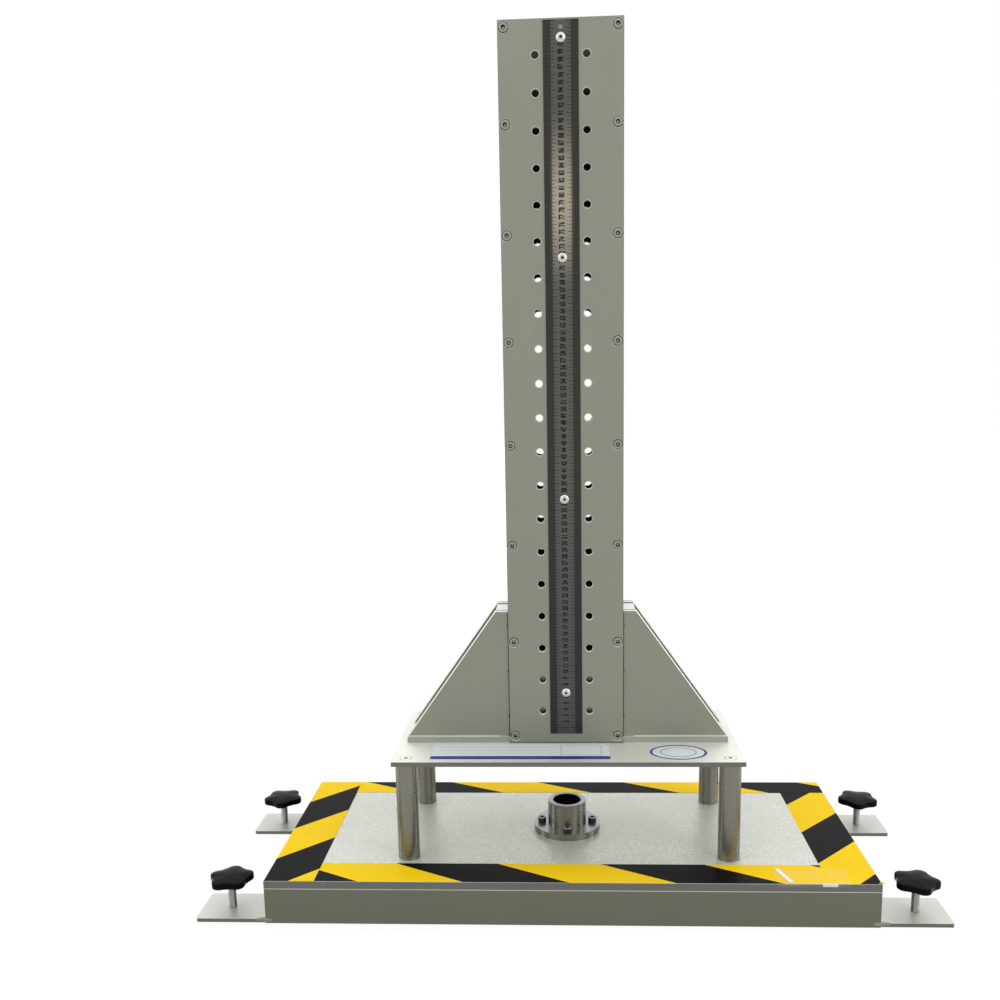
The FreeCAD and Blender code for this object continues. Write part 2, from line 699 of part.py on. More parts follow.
def make_edge_screws(label, side):
    """The countersunk screws of one face plate, as a group."""
    shank = amount("Sizes.edge_screw_diameter")
    head = amount("Sizes.edge_head_diameter")
    reach = amount("Sizes.edge_screw_reach")
    screw = countersunk(shank, head, reach)
    # The head's top, which faces up, is turned to face out of the plate.
    screw.rotate(Vector(0, 0, 0), Vector(1, 0, 0), -90 * side)
    x, y = amount(EDGE_X), side * amount(TOWER_FACE)
    places = [Vector(i * x, y, height) for i in (-1, 1) for height in edge_screw_heights()]
    new_feature(label, placed(screw, places))


def make_tower():
    front = make_face_plate("tower_front_plate", -1, "Sizes.pin_hole_diameter")
    rule_top = f"({RULE_BOTTOM} + {RULE_LENGTH})"
    rule_heights = [f"{RULE_BOTTOM} + Sizes.rule_screw_{name}" for name in ("first", "second", "third")]
    rule_heights.append(f"{rule_top} - Sizes.rule_screw_top")
    places = [("0", height) for height in rule_heights]
    tap = "Sizes.rule_screw_diameter + 2 * Sizes.thread_clearance"
    drill(front, "rule_taps", "XZ_Plane", TOWER_FACE, places, tap)
    make_face_plate("tower_rear_plate", 1, "Sizes.pin_rear_diameter")
    make_side_plate("tower_side_left", -1)
    make_side_plate("tower_side_right", 1)
    make_edge_screws("front_plate_screws", -1)
    make_edge_screws("rear_plate_screws", 1)

    half = "Sizes.rule_width / 2"
    outline = box_points(f"-{half}", half, RULE_BOTTOM, rule_top)
    rule = slab("steel_rule", "XZ_Plane", TOWER_FACE, "Sizes.rule_thickness", outline)
    face = f"{TOWER_FACE} + Sizes.rule_thickness"
    hole = "Sizes.rule_screw_diameter + 2 * Sizes.screw_clearance"
    drill(rule, "rule_screw_holes", "XZ_Plane", face, places, hole)
    hang = [("0", f"{rule_top} - Sizes.rule_hang_inset")]
    drill(rule, "rule_hang_hole", "XZ_Plane", face, hang, "Sizes.rule_hang_hole")

    head = amount("Sizes.rule_head_diameter") / 2
    height = amount("Sizes.rule_head_height")
    reach = amount("Sizes.rule_thickness + Sizes.face_plate_thickness")
    # A low button head: a short cylinder under a cone, with a flat top.
    form = [(head, 0), (head, height / 3), (head / 2, height), (0, height)]
    screw = fastener(amount("Sizes.rule_screw_diameter"), reach, form)
    screw.rotate(Vector(0, 0, 0), Vector(1, 0, 0), 90)
    y = -amount(face)
    new_feature("rule_screws", placed(screw, [Vector(0, y, amount(height)) for height in rule_heights]))


def make_gusset(place, side, end):
    """One upright gusset plate beside the tower: its outer edge slopes in towards the top."""
    inner = signed(side, TOWER_HALF)
    toe = signed(side, GUSSET_TOE)
    shoulder = signed(side, f"{TOWER_HALF} + Sizes.gusset_top_width")
    outline = [(inner, GUSSET_BOTTOM), (toe, GUSSET_BOTTOM), (shoulder, GUSSET_TOP), (inner, GUSSET_TOP)]
    rear = end > 0
    start = f"-{GUSSET_FACE}" if rear else f"{GUSSET_FACE} - Sizes.gusset_thickness"
    slab("gusset_" + place, "XZ_Plane", start, "Sizes.gusset_thickness", outline)


def make_gussets():
    for name, side in (("left", -1), ("right", 1)):
        make_gusset("front_" + name, side, -1)
        make_gusset("rear_" + name, side, 1)
        inner = signed(side, TOWER_HALF)
        toe = signed(side, GUSSET_TOE)
        depth = f"({GUSSET_FACE} + Sizes.gusset_foot_ledge)"
        outline = box_points(inner, toe, f"-{depth}", depth)
        slab("gusset_foot_" + name, "XY_Plane", PLATFORM_TOP, "Sizes.gusset_foot_thickness", outline)
        shoulder = signed(side, f"{TOWER_HALF} + Sizes.gusset_top_width")
        gap = f"({GUSSET_FACE} - Sizes.gusset_thickness)"
        low = f"{GUSSET_TOP} - Sizes.cap_drop - Sizes.cap_thickness"
        outline = box_points(inner, shoulder, f"-{gap}", gap)
        slab("gusset_cap_" + name, "XY_Plane", low, "Sizes.cap_thickness", outline)


def make_shoe(label, side):
    """A guide shoe on the weight's side, with a tongue that runs in the side plate's groove."""
    seat = signed(side, "Sizes.weight_width / 2")
    face = signed(side, f"{CHANNEL_HALF} - Sizes.guide_clearance")
    tip = signed(side, f"{CHANNEL_HALF} + Sizes.groove_depth - Sizes.groove_tip_clearance")
    half = "Sizes.shoe_width / 2"
    tongue = "(Sizes.groove_width / 2 - Sizes.guide_clearance)"
    outline = [(seat, f"-{half}"), (face, f"-{half}"), (face, f"-{tongue}"), (tip, f"-{tongue}")]
    outline += [(tip, tongue), (face, tongue), (face, half), (seat, half)]
    low = f"{WEIGHT_BOTTOM} + (Sizes.weight_height - Sizes.shoe_height) / 2"
    slab(label, "XY_Plane", low, "Sizes.shoe_height", outline)


def make_weight():
    x, y = "Sizes.weight_width / 2", "Sizes.weight_depth / 2"
    outline = box_points(f"-{x}", x, f"-{y}", y)
    body = slab("falling_weight", "XY_Plane", WEIGHT_BOTTOM, "Sizes.weight_height", outline)
    block = body.Tip
    names = []
    for index, edge in enumerate(block.Shape.Edges, start=1):
        level = edge.BoundBox.ZMax - edge.BoundBox.ZMin < edge.Length / 2
        if level:
            names.append(f"Edge{index}")
    chamfer = body.newObject("PartDesign::Chamfer", "weight_chamfers")
    chamfer.Base = (block, names)
    chamfer.setExpression("Size", "Sizes.weight_chamfer")
    body.Tip = chamfer
    doc.recompute()
    spigot = "Sizes.striker_spigot_diameter + 2 * Sizes.spigot_clearance"
    spigot_depth = "Sizes.striker_spigot_length + Sizes.screw_clearance"
    axis = [("0", "0")]
    drill(body, "spigot_bore", "XY_Plane", WEIGHT_BOTTOM, axis, spigot, depth=spigot_depth, reverse=True)
    eye = "Sizes.eye_screw_diameter + 2 * Sizes.thread_clearance"
    eye_depth = "Sizes.eye_screw_reach + Sizes.screw_clearance"
    drill(body, "eye_tap", "XY_Plane", WEIGHT_TOP, axis, eye, depth=eye_depth)
    make_shoe("guide_shoe_left", -1)
    make_shoe("guide_shoe_right", 1)

    striker = new_body("striker")
    sketch = new_sketch(striker, "striker_profile", "XZ_Plane", "0")
    radius = "Sizes.striker_diameter / 2"
    spigot_radius = "Sizes.striker_spigot_diameter / 2"
    tip = f"({WEIGHT_BOTTOM} - Sizes.striker_length)"
    top = f"{WEIGHT_BOTTOM} + Sizes.striker_spigot_length"
    profile = [("0", tip), (f"{radius} - Sizes.striker_edge", tip), (radius, f"{tip} + Sizes.striker_edge")]
    profile += [(radius, WEIGHT_BOTTOM), (spigot_radius, WEIGHT_BOTTOM), (spigot_radius, top), ("0", top)]
    add_outline(sketch, profile)
    turn = striker.newObject("PartDesign::Revolution", "striker_turning")
    turn.Profile = sketch
    turn.ReferenceAxis = (sketch, ["V_Axis"])
    turn.Angle = 360
    striker.Tip = turn
    doc.recompute()

    make_lifting_eye()


def make_lifting_eye():
    """A forged eye: ring, collar and screw shank, screwed into the top of the weight."""
    ring = doc.addObject("Part::Torus", "eye_ring")
    ring.setExpression("Radius1", "(Sizes.eye_diameter + Sizes.eye_wire) / 2")
    ring.setExpression("Radius2", "Sizes.eye_wire / 2")
    centre = f"{WEIGHT_TOP} + Sizes.eye_collar_height + Sizes.eye_diameter / 2 + Sizes.eye_wire / 2"
    ring.Placement.Rotation = FreeCAD.Rotation(Vector(1, 0, 0), 90)
    ring.setExpression("Placement.Base.z", centre)
    collar = doc.addObject("Part::Cylinder", "eye_collar")
    collar.setExpression("Radius", "Sizes.eye_collar_diameter / 2")
    collar.setExpression("Height", "Sizes.eye_collar_height + Sizes.eye_wire / 2")
    collar.setExpression("Placement.Base.z", WEIGHT_TOP)
    shank = doc.addObject("Part::Cylinder", "eye_shank")
    shank.setExpression("Radius", "Sizes.eye_screw_diameter / 2")
    shank.setExpression("Height", "Sizes.eye_screw_reach + Sizes.eye_collar_height")
    shank.setExpression("Placement.Base.z", f"{WEIGHT_TOP} - Sizes.eye_screw_reach")
    eye = doc.addObject("Part::MultiFuse", "lifting_eye")
    eye.Label = "lifting_eye"
    eye.Shapes = [ring, collar, shank]
    parts.append(eye)


def make_buffer():
    x = f"({CHANNEL_HALF} - Sizes.buffer_clearance)"
    y = f"({CHANNEL_DEPTH} - Sizes.buffer_clearance)"
    outline = box_points(f"-{x}", x, f"-{y}", y)
    body = slab("buffer_pad", "XY_Plane", PLATFORM_TOP, "Sizes.buffer_thickness", outline)
    top = f"{PLATFORM_TOP} + Sizes.buffer_thickness"
    drill(body, "buffer_opening", "XY_Plane", top, [("0", "0")], "Sizes.buffer_hole")


def check_and_write():
    """Stops on a failed object or a bad shape, then writes one file for each sub-part."""
    doc.recompute()
    for item in doc.Objects:
        if "Invalid" in item.State or "Error" in item.State:
            raise RuntimeError(f"{item.Name} failed: {item.State}")
    for part in parts:
        if part.Shape.isNull() or not part.Shape.isValid() or not part.Shape.Solids:
            raise RuntimeError(f"{part.Label} has no sound shape")
    os.makedirs("parts", exist_ok=True)
    for part in parts:
        part.Shape.exportStep(f"parts/{part.Label}.step")
        print(f"{part.Label}: {len(part.Shape.Solids)} solid, {part.Shape.Volume / 1000:.1f} cm3")


make_plinth()
for name, side, end in (
    ("front_left", -1, -1),
    ("front_right", 1, -1),
    ("rear_left", -1, 1),
    ("rear_right", 1, 1),
):
    make_foot(side, end, name)
make_bush()
make_columns()
make_platform()
make_tower()
make_gussets()
make_buffer()
make_weight()
check_and_write()
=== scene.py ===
from math import atan2, cos, pi, radians, sin, sqrt

import bmesh
import bpy
from bpy.props import FloatProperty, FloatVectorProperty, PointerProperty
from mathutils import Matrix, Vector


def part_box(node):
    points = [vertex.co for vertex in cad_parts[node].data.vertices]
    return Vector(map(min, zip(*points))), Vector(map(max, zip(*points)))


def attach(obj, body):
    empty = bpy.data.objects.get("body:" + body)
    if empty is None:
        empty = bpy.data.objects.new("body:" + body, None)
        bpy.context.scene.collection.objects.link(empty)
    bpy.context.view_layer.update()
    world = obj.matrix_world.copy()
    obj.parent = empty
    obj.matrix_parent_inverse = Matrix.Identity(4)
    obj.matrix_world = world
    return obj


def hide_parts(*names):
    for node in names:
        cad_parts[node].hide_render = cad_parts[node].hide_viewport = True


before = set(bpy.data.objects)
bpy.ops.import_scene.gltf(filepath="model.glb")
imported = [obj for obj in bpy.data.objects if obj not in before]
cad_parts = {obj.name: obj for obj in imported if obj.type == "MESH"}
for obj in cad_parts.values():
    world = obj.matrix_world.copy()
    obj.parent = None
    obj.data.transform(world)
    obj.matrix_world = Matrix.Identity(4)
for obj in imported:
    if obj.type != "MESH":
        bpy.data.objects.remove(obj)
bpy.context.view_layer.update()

# Looks of a falling weight impact tester: a drilled drop tower with a steel rule on a raised platform,
# over a flanged anvil bush on a levelled plinth. Metres, +Z up, and the front faces -Y.

bl_info = {
    "name": "Falling Weight Impact Tester",
    "version": (1, 0, 0),
    "blender": (4, 5, 0),
    "location": "3D View > Sidebar > Impact Tester",
    "description": "Builds the pieces and finishes of a falling weight impact tester",
    "category": "Object",
}

CORNERS = ("front_left", "front_right", "rear_left", "rear_right")
# The specular level of finishes that hardly mirror the white surroundings.
DULL = 0.05


def length(name, description, value):
    return FloatProperty(
        name=name, description=description, default=value, min=0.0, max=1.0, unit="LENGTH", precision=5
    )


def colour(name, description, value):
    return FloatVectorProperty(
        name=name, description=description, default=value, size=3, min=0.0, max=1.0, subtype="COLOR_GAMMA"
    )


class TesterSizes(bpy.types.PropertyGroup):
    edge_break: length("Edge break", "Width of the broken edges of the plates", 0.0005)
    tape_thickness: length("Tape thickness", "Thickness of the hazard tape", 0.00015)
    tape_side: length("Side tape", "Width of the tape along the plinth's ends", 0.074)
    tape_front: length("Front tape", "Width of the tape along the plinth's front", 0.0585)
    tape_rear: length("Rear tape", "Width of the tape along the plinth's rear", 0.0475)
    stripe_long: length("Long stripe", "Step of the stripes along the plinth's front and rear", 0.1545)
    stripe_short: length("Short stripe", "Step of the stripes along the plinth's ends", 0.108)
    stud_pitch: length("Stud pitch", "Pitch of the levelling studs' thread", 0.00175)
    thread_depth: length("Thread depth", "Depth of the levelling studs' thread", 0.00055)
    socket_depth: length("Socket depth", "Depth of the hex sockets in the screws", 0.003)
    number_height: length("Number height", "Height of the numbers on the rule", 0.0082)
    label_length: length("Label length", "Length of the label on the platform", 0.271)
    label_width: length("Label width", "Width of the label on the platform", 0.066)
    sticker_length: length("Sticker length", "Length of the oval sticker on the platform", 0.088)
    sticker_width: length("Sticker width", "Width of the oval sticker on the platform", 0.064)


class TesterColours(bpy.types.PropertyGroup):
    plate: colour("Plate", "Satin painted steel of the tower and gussets", (0.55, 0.56, 0.508))
    plinth: colour("Plinth", "Textured paint of the plinth's top", (0.825, 0.83, 0.80))
    # Painted shade: the plinth's paint darkened to stand for the shade on its upright faces.
    plinth_side: colour("Plinth side", "Satin paint of the plinth's sides", (0.425, 0.428, 0.372))
    turned: colour("Turned steel", "Bush and striker", (0.475, 0.47, 0.435))
    column: colour("Column steel", "Columns under the platform", (0.49, 0.49, 0.455))
    yellow: colour("Yellow", "Yellow of the hazard tape", (0.95, 0.795, 0.03))
    black: colour("Black", "Black of the hazard tape", (0.030, 0.026, 0.032))
    knob: colour("Knob", "Gloss plastic of the star knobs", (0.028, 0.028, 0.034))
    label: colour("Label", "Ground of the label and sticker", (0.86, 0.88, 0.88))
    band: colour("Band", "Band on the label and ring on the sticker", (0.09, 0.16, 0.52))


# ---- Shader values as Python expressions


def maths(operation, reflected=False):
    """An operator that adds a Math node."""

    def method(self, *others):
        values = [*others, self] if reflected else [self, *others]
        return self.shading.node("ShaderNodeMath", {"operation": operation}, values)

    return method


class Value:
    """A number or vector socket of a shader, with Python's operators."""

    def __init__(self, shading, socket):
        self.shading = shading
        self.socket = socket

    __add__ = __radd__ = maths("ADD")
    __sub__ = maths("SUBTRACT")
    __rsub__ = maths("SUBTRACT", reflected=True)
    __mul__ = __rmul__ = maths("MULTIPLY")
    __mod__ = maths("FLOORED_MODULO")
    __pow__ = maths("POWER")
    __lt__ = maths("LESS_THAN")
    __gt__ = maths("GREATER_THAN")
    __abs__ = maths("ABSOLUTE")


class Shading:
    """A node tree being made. Its patterns read the coordinates that it is given."""

    def __init__(self, tree, coordinates):
        self.tree = tree
        self.place = self.node("ShaderNodeTexCoord", {}, [], output=coordinates)

    def node(self, kind, settings, sockets, output=0):
        """Adds a node: its settings first, then the values or links of its sockets, by order or by name."""
        made = self.tree.nodes.new(kind)
        for key, setting in settings.items():
            setattr(made, key, setting)
        pairs = sockets.items() if isinstance(sockets, dict) else enumerate(sockets)
        for key, value in pairs:
            self.feed(made.inputs[key], value)
        return Value(self, made.outputs[output])

    def feed(self, socket, value):
        if isinstance(value, Value):
            self.tree.links.new(value.socket, socket)
        else:
            socket.default_value = value

    def axis(self, name):
        return self.node("ShaderNodeSeparateXYZ", {}, [self.place], output=name)

    def stretched(self, x, y, z):
        """Object coordinates scaled along each axis."""
        return self.node("ShaderNodeMapping", {}, {"Vector": self.place, "Scale": (x, y, z)})

    def noise(self, scale, detail=3.0, place=None, roughness=0.5):
        sockets = {"Vector": place or self.place, "Scale": scale, "Detail": detail, "Roughness": roughness}
        return self.node("ShaderNodeTexNoise", {}, sockets)

    def blend(self, amount, first, second):
        """A colour between two others."""
        sockets = {0: amount, 6: opaque(first), 7: opaque(second)}
        return self.node("ShaderNodeMix", {"data_type": "RGBA"}, sockets, output=2)

    def tones(self, amount, shade, low, high):
        """A screen colour whose light is scaled by between low and high."""
        return self.blend(amount, shaded(shade, low), shaded(shade, high))

    def step(self, value, low, high):
        """0 below low and 1 above high, with a smooth rise between them."""
        sockets = {"Value": value, "From Min": low, "From Max": high}
        return self.node("ShaderNodeMapRange", {"interpolation_type": "SMOOTHSTEP"}, sockets)

    def normal_axis(self, name):
        normal = self.node("ShaderNodeTexCoord", {}, [], output="Normal")
        return self.node("ShaderNodeSeparateXYZ", {}, [normal], output=name)

    def upright(self):
        """1 on faces that stand up, 0 on level ones."""
        return self.step(abs(self.normal_axis("Z")), 0.85, 0.5)

    def bump(self, height, distance):
        return self.node("ShaderNodeBump", {}, {"Strength": 1.0, "Distance": distance, "Height": height})

    def seen(self):
        """1 for rays from the camera and for those that a mirror or glass sends on, 0 for plain light."""
        kinds = ("Is Camera Ray", "Is Glossy Ray", "Is Transmission Ray")
        camera, glossy, through = (self.node("ShaderNodeLightPath", {}, [], output=kind) for kind in kinds)
        return camera + glossy + through


class Finish(Shading):
    """A procedural material on Object coordinates."""

    def __init__(self, name):
        self.material = bpy.data.materials.new(name)
        self.material.use_nodes = True
        super().__init__(self.material.node_tree, "Object")
        self.shader = self.tree.nodes["Principled BSDF"]

    def finish(self, tone, roughness, **sockets):
        for name, value in {"base_color": tone, "roughness": roughness, **sockets}.items():
            name = name.replace("_", " ").title().replace("Ior", "IOR")
            self.feed(self.shader.inputs[name], value)
        return self.material


def opaque(shade):
    return shade if isinstance(shade, Value) else (*shade, 1.0)


def linear(shade):
    """A screen colour as the linear light that a shader takes."""
    return tuple(c / 12.92 if c <= 0.04045 else ((c + 0.055) / 1.055) ** 2.4 for c in shade)


def shaded(shade, factor):
    return tuple(min(1.0, c * factor) for c in linear(shade))


def tester_colours():
    return bpy.context.scene.tester_colours


def tester_sizes():
    return bpy.context.scene.tester_sizes


# ---- Finishes


def plated_steel(name, shade, grain=0.5, side=1.0):
    """Satin painted plate: a fine grain, faint clouds and a few light scuffs. side darkens upright faces."""
    f = Finish(name)
    clouds = f.noise(6.0, 4.0)
    fine = f.noise(900.0, 2.0)
    scuffs = f.noise(30.0, 5.0, f.stretched(1.0, 1.0, 0.15), 0.7)
    wear_and_glare = f.step(scuffs, 0.60, 0.72)
    tone = f.tones(clouds, shade, 0.93, 1.06)
    tone = f.blend(wear_and_glare * 0.15, tone, shaded(shade, 1.25))
    # Painted shade: upright faces are painted darker than level ones.
    if side < 1.0:
        tone = f.blend(f.upright(), tone, shaded(shade, side))
    rough = 0.40 + clouds * 0.10 + fine * 0.06 - wear_and_glare * 0.05
    relief = f.bump(fine * grain + clouds * 0.3, 0.00006)
    return f.finish(tone, rough, metallic=0.55, normal=relief)


def plinth_top(name, shade):
    """Coarse textured plating: close pimples that catch the light."""
    # Coarse textured plating: close pimples whose tops are painted lighter, a painted highlight, and upright
    # faces painted dark, a painted shade.
    f = Finish(name)
    pimples = f.noise(400.0, 2.0)
    patches = f.noise(9.0)
    # Painted highlight: the tops of the pimples are painted lighter.
    painted_sparkle = f.step(pimples, 0.48, 0.66)
    tone = f.tones(patches, shade, 0.84, 0.95)
    tone = f.blend(painted_sparkle * 0.6, tone, shaded(shade, 1.4))
    # Painted shade: upright faces are painted dark.
    tone = f.blend(f.upright(), tone, shaded(shade, 0.22))
    rough = 0.36 - painted_sparkle * 0.12 + patches * 0.06
    return f.finish(tone, rough, metallic=0.4, normal=f.bump(pimples, 0.0002))


def turned_steel(name, shade, centre=(0.0, 0.0), bore=0.0):
    """Turned steel: fine rings round a vertical axis, on the sides by height and on the ends by radius.

    The rings draw each highlight out along the axis. Inside the radius bore the metal is dark with oil.
    """
    f = Finish(name)
    across, along = f.axis("X") - centre[0], f.axis("Y") - centre[1]
    radius = (across * across + along * along) ** 0.5
    rings = f.node("ShaderNodeCombineXYZ", {}, [radius * 2600.0, f.axis("Z") * 1700.0, 0.0])
    lines = f.noise(1.0, 2.0, rings)
    clouds = f.noise(14.0)
    tone = f.tones(lines, shade, 0.86, 1.1)
    tone = f.blend(clouds * 0.3, tone, shaded(shade, 0.8))
    # Painted highlight: level faces, such as the flange top and rims, are painted a paler steel.
    tone = f.blend(1.0 - f.upright(), tone, shaded((0.66, 0.66, 0.675), 1.0))
    # Painted shade: the bore is painted dark.
    if bore:
        tone = f.blend(f.step(radius, bore + 0.0008, bore), tone, shaded(shade, 0.10))
    rough = 0.21 + lines * 0.08 + clouds * 0.06
    drawn = {"anisotropic": 0.8, "anisotropic_rotation": 0.25}
    return f.finish(tone, rough, metallic=0.9, normal=f.bump(lines, 0.00001), **drawn)


def ground_steel(name, shade, side=None):
    """Ground plate: long fine grinding lines across it, with soft stains. side is the colour of its edges."""
    f = Finish(name)
    lines = f.noise(1.0, 3.0, f.stretched(40.0, 2400.0, 2400.0))
    stains = f.noise(25.0, 4.0)
    tone = f.tones(lines, shade, 0.92, 1.05)
    tone = f.blend(f.step(stains, 0.5, 0.8) * 0.2, tone, shaded(shade, 0.75))
    # Painted shade: upright faces take the darker side colour.
    if side:
        tone = f.blend(f.upright(), tone, linear(side))
    return f.finish(tone, 0.36 + lines * 0.12, metallic=0.5, normal=f.bump(lines, 0.00004))


def bright_zinc(name, shade):
    f = Finish(name)
    haze = f.noise(160.0)
    tone = f.tones(haze, shade, 0.85, 1.1)
    return f.finish(tone, 0.2 + haze * 0.16, metallic=1.0, normal=f.bump(haze, 0.00004))


def black_oxide(name, shade):
    f = Finish(name)
    haze = f.noise(300.0)
    rubbed = f.step(f.noise(80.0, 4.0), 0.58, 0.7)
    tone = f.tones(rubbed * 0.5, shade, 1.0, 3.0)
    return f.finish(tone, 0.32 + haze * 0.15, metallic=0.85, normal=f.bump(haze, 0.00005))


def tape_film(name, shade):
    """Printed tape under a clear film, with faint wrinkles."""
    f = Finish(name)
    wrinkles = f.noise(22.0)
    specks = f.noise(500.0, 2.0)
    tone = f.tones(wrinkles, shade, 0.94, 1.03)
    relief = f.bump(wrinkles + specks * 0.02, 0.0006)
    return f.finish(tone, 0.36 + specks * 0.10, specular_ior_level=DULL, normal=relief)


def clear_film(name):
    """A scrap of clear tape, with a milky crease across it and another where it folds over the edge."""
    f = Finish(name)
    haze = f.noise(60.0)
    x, y = f.axis("X") - 0.313, f.axis("Y") + 0.1655
    lean = radians(18)
    across = abs(x * cos(lean) + y * sin(lean))
    along = abs(x * sin(lean) - y * cos(lean))
    # Painted highlight: whitish, less clear strips stand for glare on a crease and on the fold.
    crease_glare = f.step(across, 0.0044, 0.0026) * f.step(along, 0.024, 0.020)
    fold_glare = f.step(abs(f.axis("X") - 0.3735), 0.013, 0.009) * (f.axis("Y") < -0.1895)
    tone = f.blend(haze, (0.86, 0.86, 0.87), (0.96, 0.96, 0.97))
    see_through = f.step(haze, 0.5, 0.75) * 0.10 + 0.04
    return f.finish(tone, 0.12 + haze * 0.1, alpha=see_through + crease_glare * 0.85 + fold_glare * 0.8)


def gloss_plastic(name, shade):
    f = Finish(name)
    flow = f.noise(40.0)
    specks = f.step(f.noise(700.0, 2.0), 0.62, 0.75)
    tone = f.tones(specks * 0.25, shade, 1.0, 3.0)
    return f.finish(tone, 0.09 + flow * 0.06, specular_ior_level=DULL, normal=f.bump(flow, 0.0001))


def cast_rubber(name, shade):
    f = Finish(name)
    grain = f.noise(350.0, 4.0)
    dust = f.step(f.noise(18.0, 5.0), 0.5, 0.75)
    tone = f.blend(dust * 0.4, shaded(shade, 1.0), (0.12, 0.12, 0.11))
    return f.finish(tone, 0.75 + dust * 0.15, normal=f.bump(grain, 0.0003))


def cast_nylon(name, shade):
    f = Finish(name)
    marks = f.noise(1.0, 2.0, f.stretched(900.0, 900.0, 60.0))
    tone = f.tones(marks, shade, 0.9, 1.04)
    return f.finish(tone, 0.42 + marks * 0.15, normal=f.bump(marks, 0.00008))


def weld_metal(name, shade):
    """A weld bead under the same pale paint as the plates."""
    f = Finish(name)
    ripples = f.noise(500.0)
    clouds = f.noise(60.0, 2.0)
    tone = f.tones(clouds, shade, 0.8, 1.15)
    return f.finish(tone, 0.42 + ripples * 0.15, metallic=0.3, normal=f.bump(ripples, 0.0002))


def rule_face(name, bottom, half_width):
    """Satin steel with graduations: a line each millimetre, longer at 5 and 10, along both edges."""
    f = Finish(name)
    across = abs(f.axis("X"))
    height = f.axis("Z") - bottom
    front = f.normal_axis("Y") < -0.5

    def lines(step, reach, width):
        off = abs((height + step / 2) % step - step / 2)
        return (off < width / 2) * (across > half_width - reach)

    ticks = lines(0.001, 0.0108, 0.00062) + lines(0.005, 0.0145, 0.0006) + lines(0.010, 0.0172, 0.0007)
    ink = f.step(ticks, 0.0, 0.5) * front * (height > 0.0)
    brushed = f.noise(1.0, 3.0, f.stretched(2600.0, 300.0, 30.0))
    clouds = f.noise(7.0)
    steel = (0.36, 0.357, 0.335)
    tone = f.tones(brushed, steel, 0.88, 1.08)
    tone = f.blend(clouds * 0.25, tone, shaded(steel, 0.8))
    # Painted shade: the steel is painted darker towards the bottom of the rule.
    tone = f.blend(f.step(height, 0.5, 0.0) * 0.7, tone, shaded((0.28, 0.28, 0.29), 1.0))
    # A painted highlight: a warm, brighter stretch high on the rule stands for a lamp's glare.
    middle = f.step(across, 0.019, 0.010)
    wear_and_glare = f.step(abs(height - 0.79), 0.13, 0.0) * middle
    tone = f.blend(wear_and_glare, tone, (0.37, 0.335, 0.27))
    tone = f.blend(ink, tone, (0.008, 0.008, 0.008))
    rough = 0.26 + brushed * 0.12 + ink * 0.3
    relief = f.bump(brushed, 0.00003)
    return f.finish(tone, rough, metallic=0.85 - ink * 0.8, specular_ior_level=DULL, normal=relief)


def etched_ink(name):
    f = Finish(name)
    wear = f.noise(900.0, 2.0)
    tone = f.blend(wear, (0.004, 0.004, 0.0045), (0.015, 0.015, 0.015))
    return f.finish(tone, 0.55 + wear * 0.1, specular_ior_level=DULL, normal=f.bump(wear, 0.00002))


def printed_paper(name, shade):
    f = Finish(name)
    fibre = f.noise(1200.0)
    film = f.noise(30.0, 2.0)
    tone = f.tones(fibre, shade, 0.96, 1.02)
    return f.finish(tone, 0.32 + film * 0.1, coat_weight=0.2, normal=f.bump(film, 0.0002))


PALE = (0.91, 0.915, 0.885)
MAKERS = {
    "plate_steel": (plated_steel, "plate"),
    # A fourth value darkens upright faces, a painted shade.
    "platform_steel": (plated_steel, PALE, 0.8, 0.19),
    "strip_steel": (plated_steel, PALE, 0.8, 0.43),
    # The caps' near-white, bluish tops are painted light: a painted highlight with a painted sky reflection.
    "cap_steel_painted_light": (plated_steel, (0.91, 0.93, 0.95), 0.3, 0.4),
    # Pale cut steel for broken edges and countersinks, partly a painted highlight.
    "cut_steel_highlight": (plated_steel, (0.92, 0.93, 0.89), 0.3),
    # Painted shade for the tower's inside.
    "tower_inside": (plated_steel, (0.26, 0.26, 0.23)),
    # Painted shadow in the joints beside the tower.
    "seam": (plated_steel, (0.16, 0.155, 0.13)),
    # A faint painted shadow in the gussets' joints.
    "faint_joint_shadow": (plated_steel, (0.545, 0.555, 0.51)),
    "screw_steel": (plated_steel, (0.585, 0.59, 0.545)),
    # Painted shade in the platform screws' sockets and round their heads.
    "flush_gap_shade": (plated_steel, (0.52, 0.52, 0.48)),
    "plinth_top": (plinth_top, "plinth"),
    "plinth_side": (plated_steel, "plinth_side"),
    "joint_line": (plated_steel, (0.76, 0.76, 0.72)),
    "foot_steel": (ground_steel, (0.825, 0.83, 0.805), "plinth_side"),
    "bush_steel": (turned_steel, "turned", (0.0, 0.0), 0.0219),
    "striker_steel": (turned_steel, "turned"),
    "zinc": (bright_zinc, (0.76, 0.76, 0.74)),
    "stud_steel": (bright_zinc, (0.60, 0.60, 0.58)),
    "black_oxide": (black_oxide, (0.165, 0.158, 0.15)),
    # Painted shade in the sockets and round flush heads, made with the black oxide maker.
    "socket_shade": (black_oxide, (0.12, 0.12, 0.12)),
    "weight_steel": (ground_steel, (0.62, 0.62, 0.60)),
    "yellow_tape": (tape_film, "yellow"),
    "black_tape": (tape_film, "black"),
    "clear_film": (clear_film,),
    "knob_plastic": (gloss_plastic, "knob"),
    "rubber": (cast_rubber, (0.14, 0.14, 0.14)),
    "nylon": (cast_nylon, (0.88, 0.87, 0.82)),
    "weld": (weld_metal, (0.57, 0.55, 0.50)),
    "ink": (etched_ink,),
    "label_ground": (printed_paper, "label"),
    "label_band": (printed_paper, "band"),
    "label_line": (printed_paper, (0.55, 0.58, 0.62)),
}
FINISHES = {}


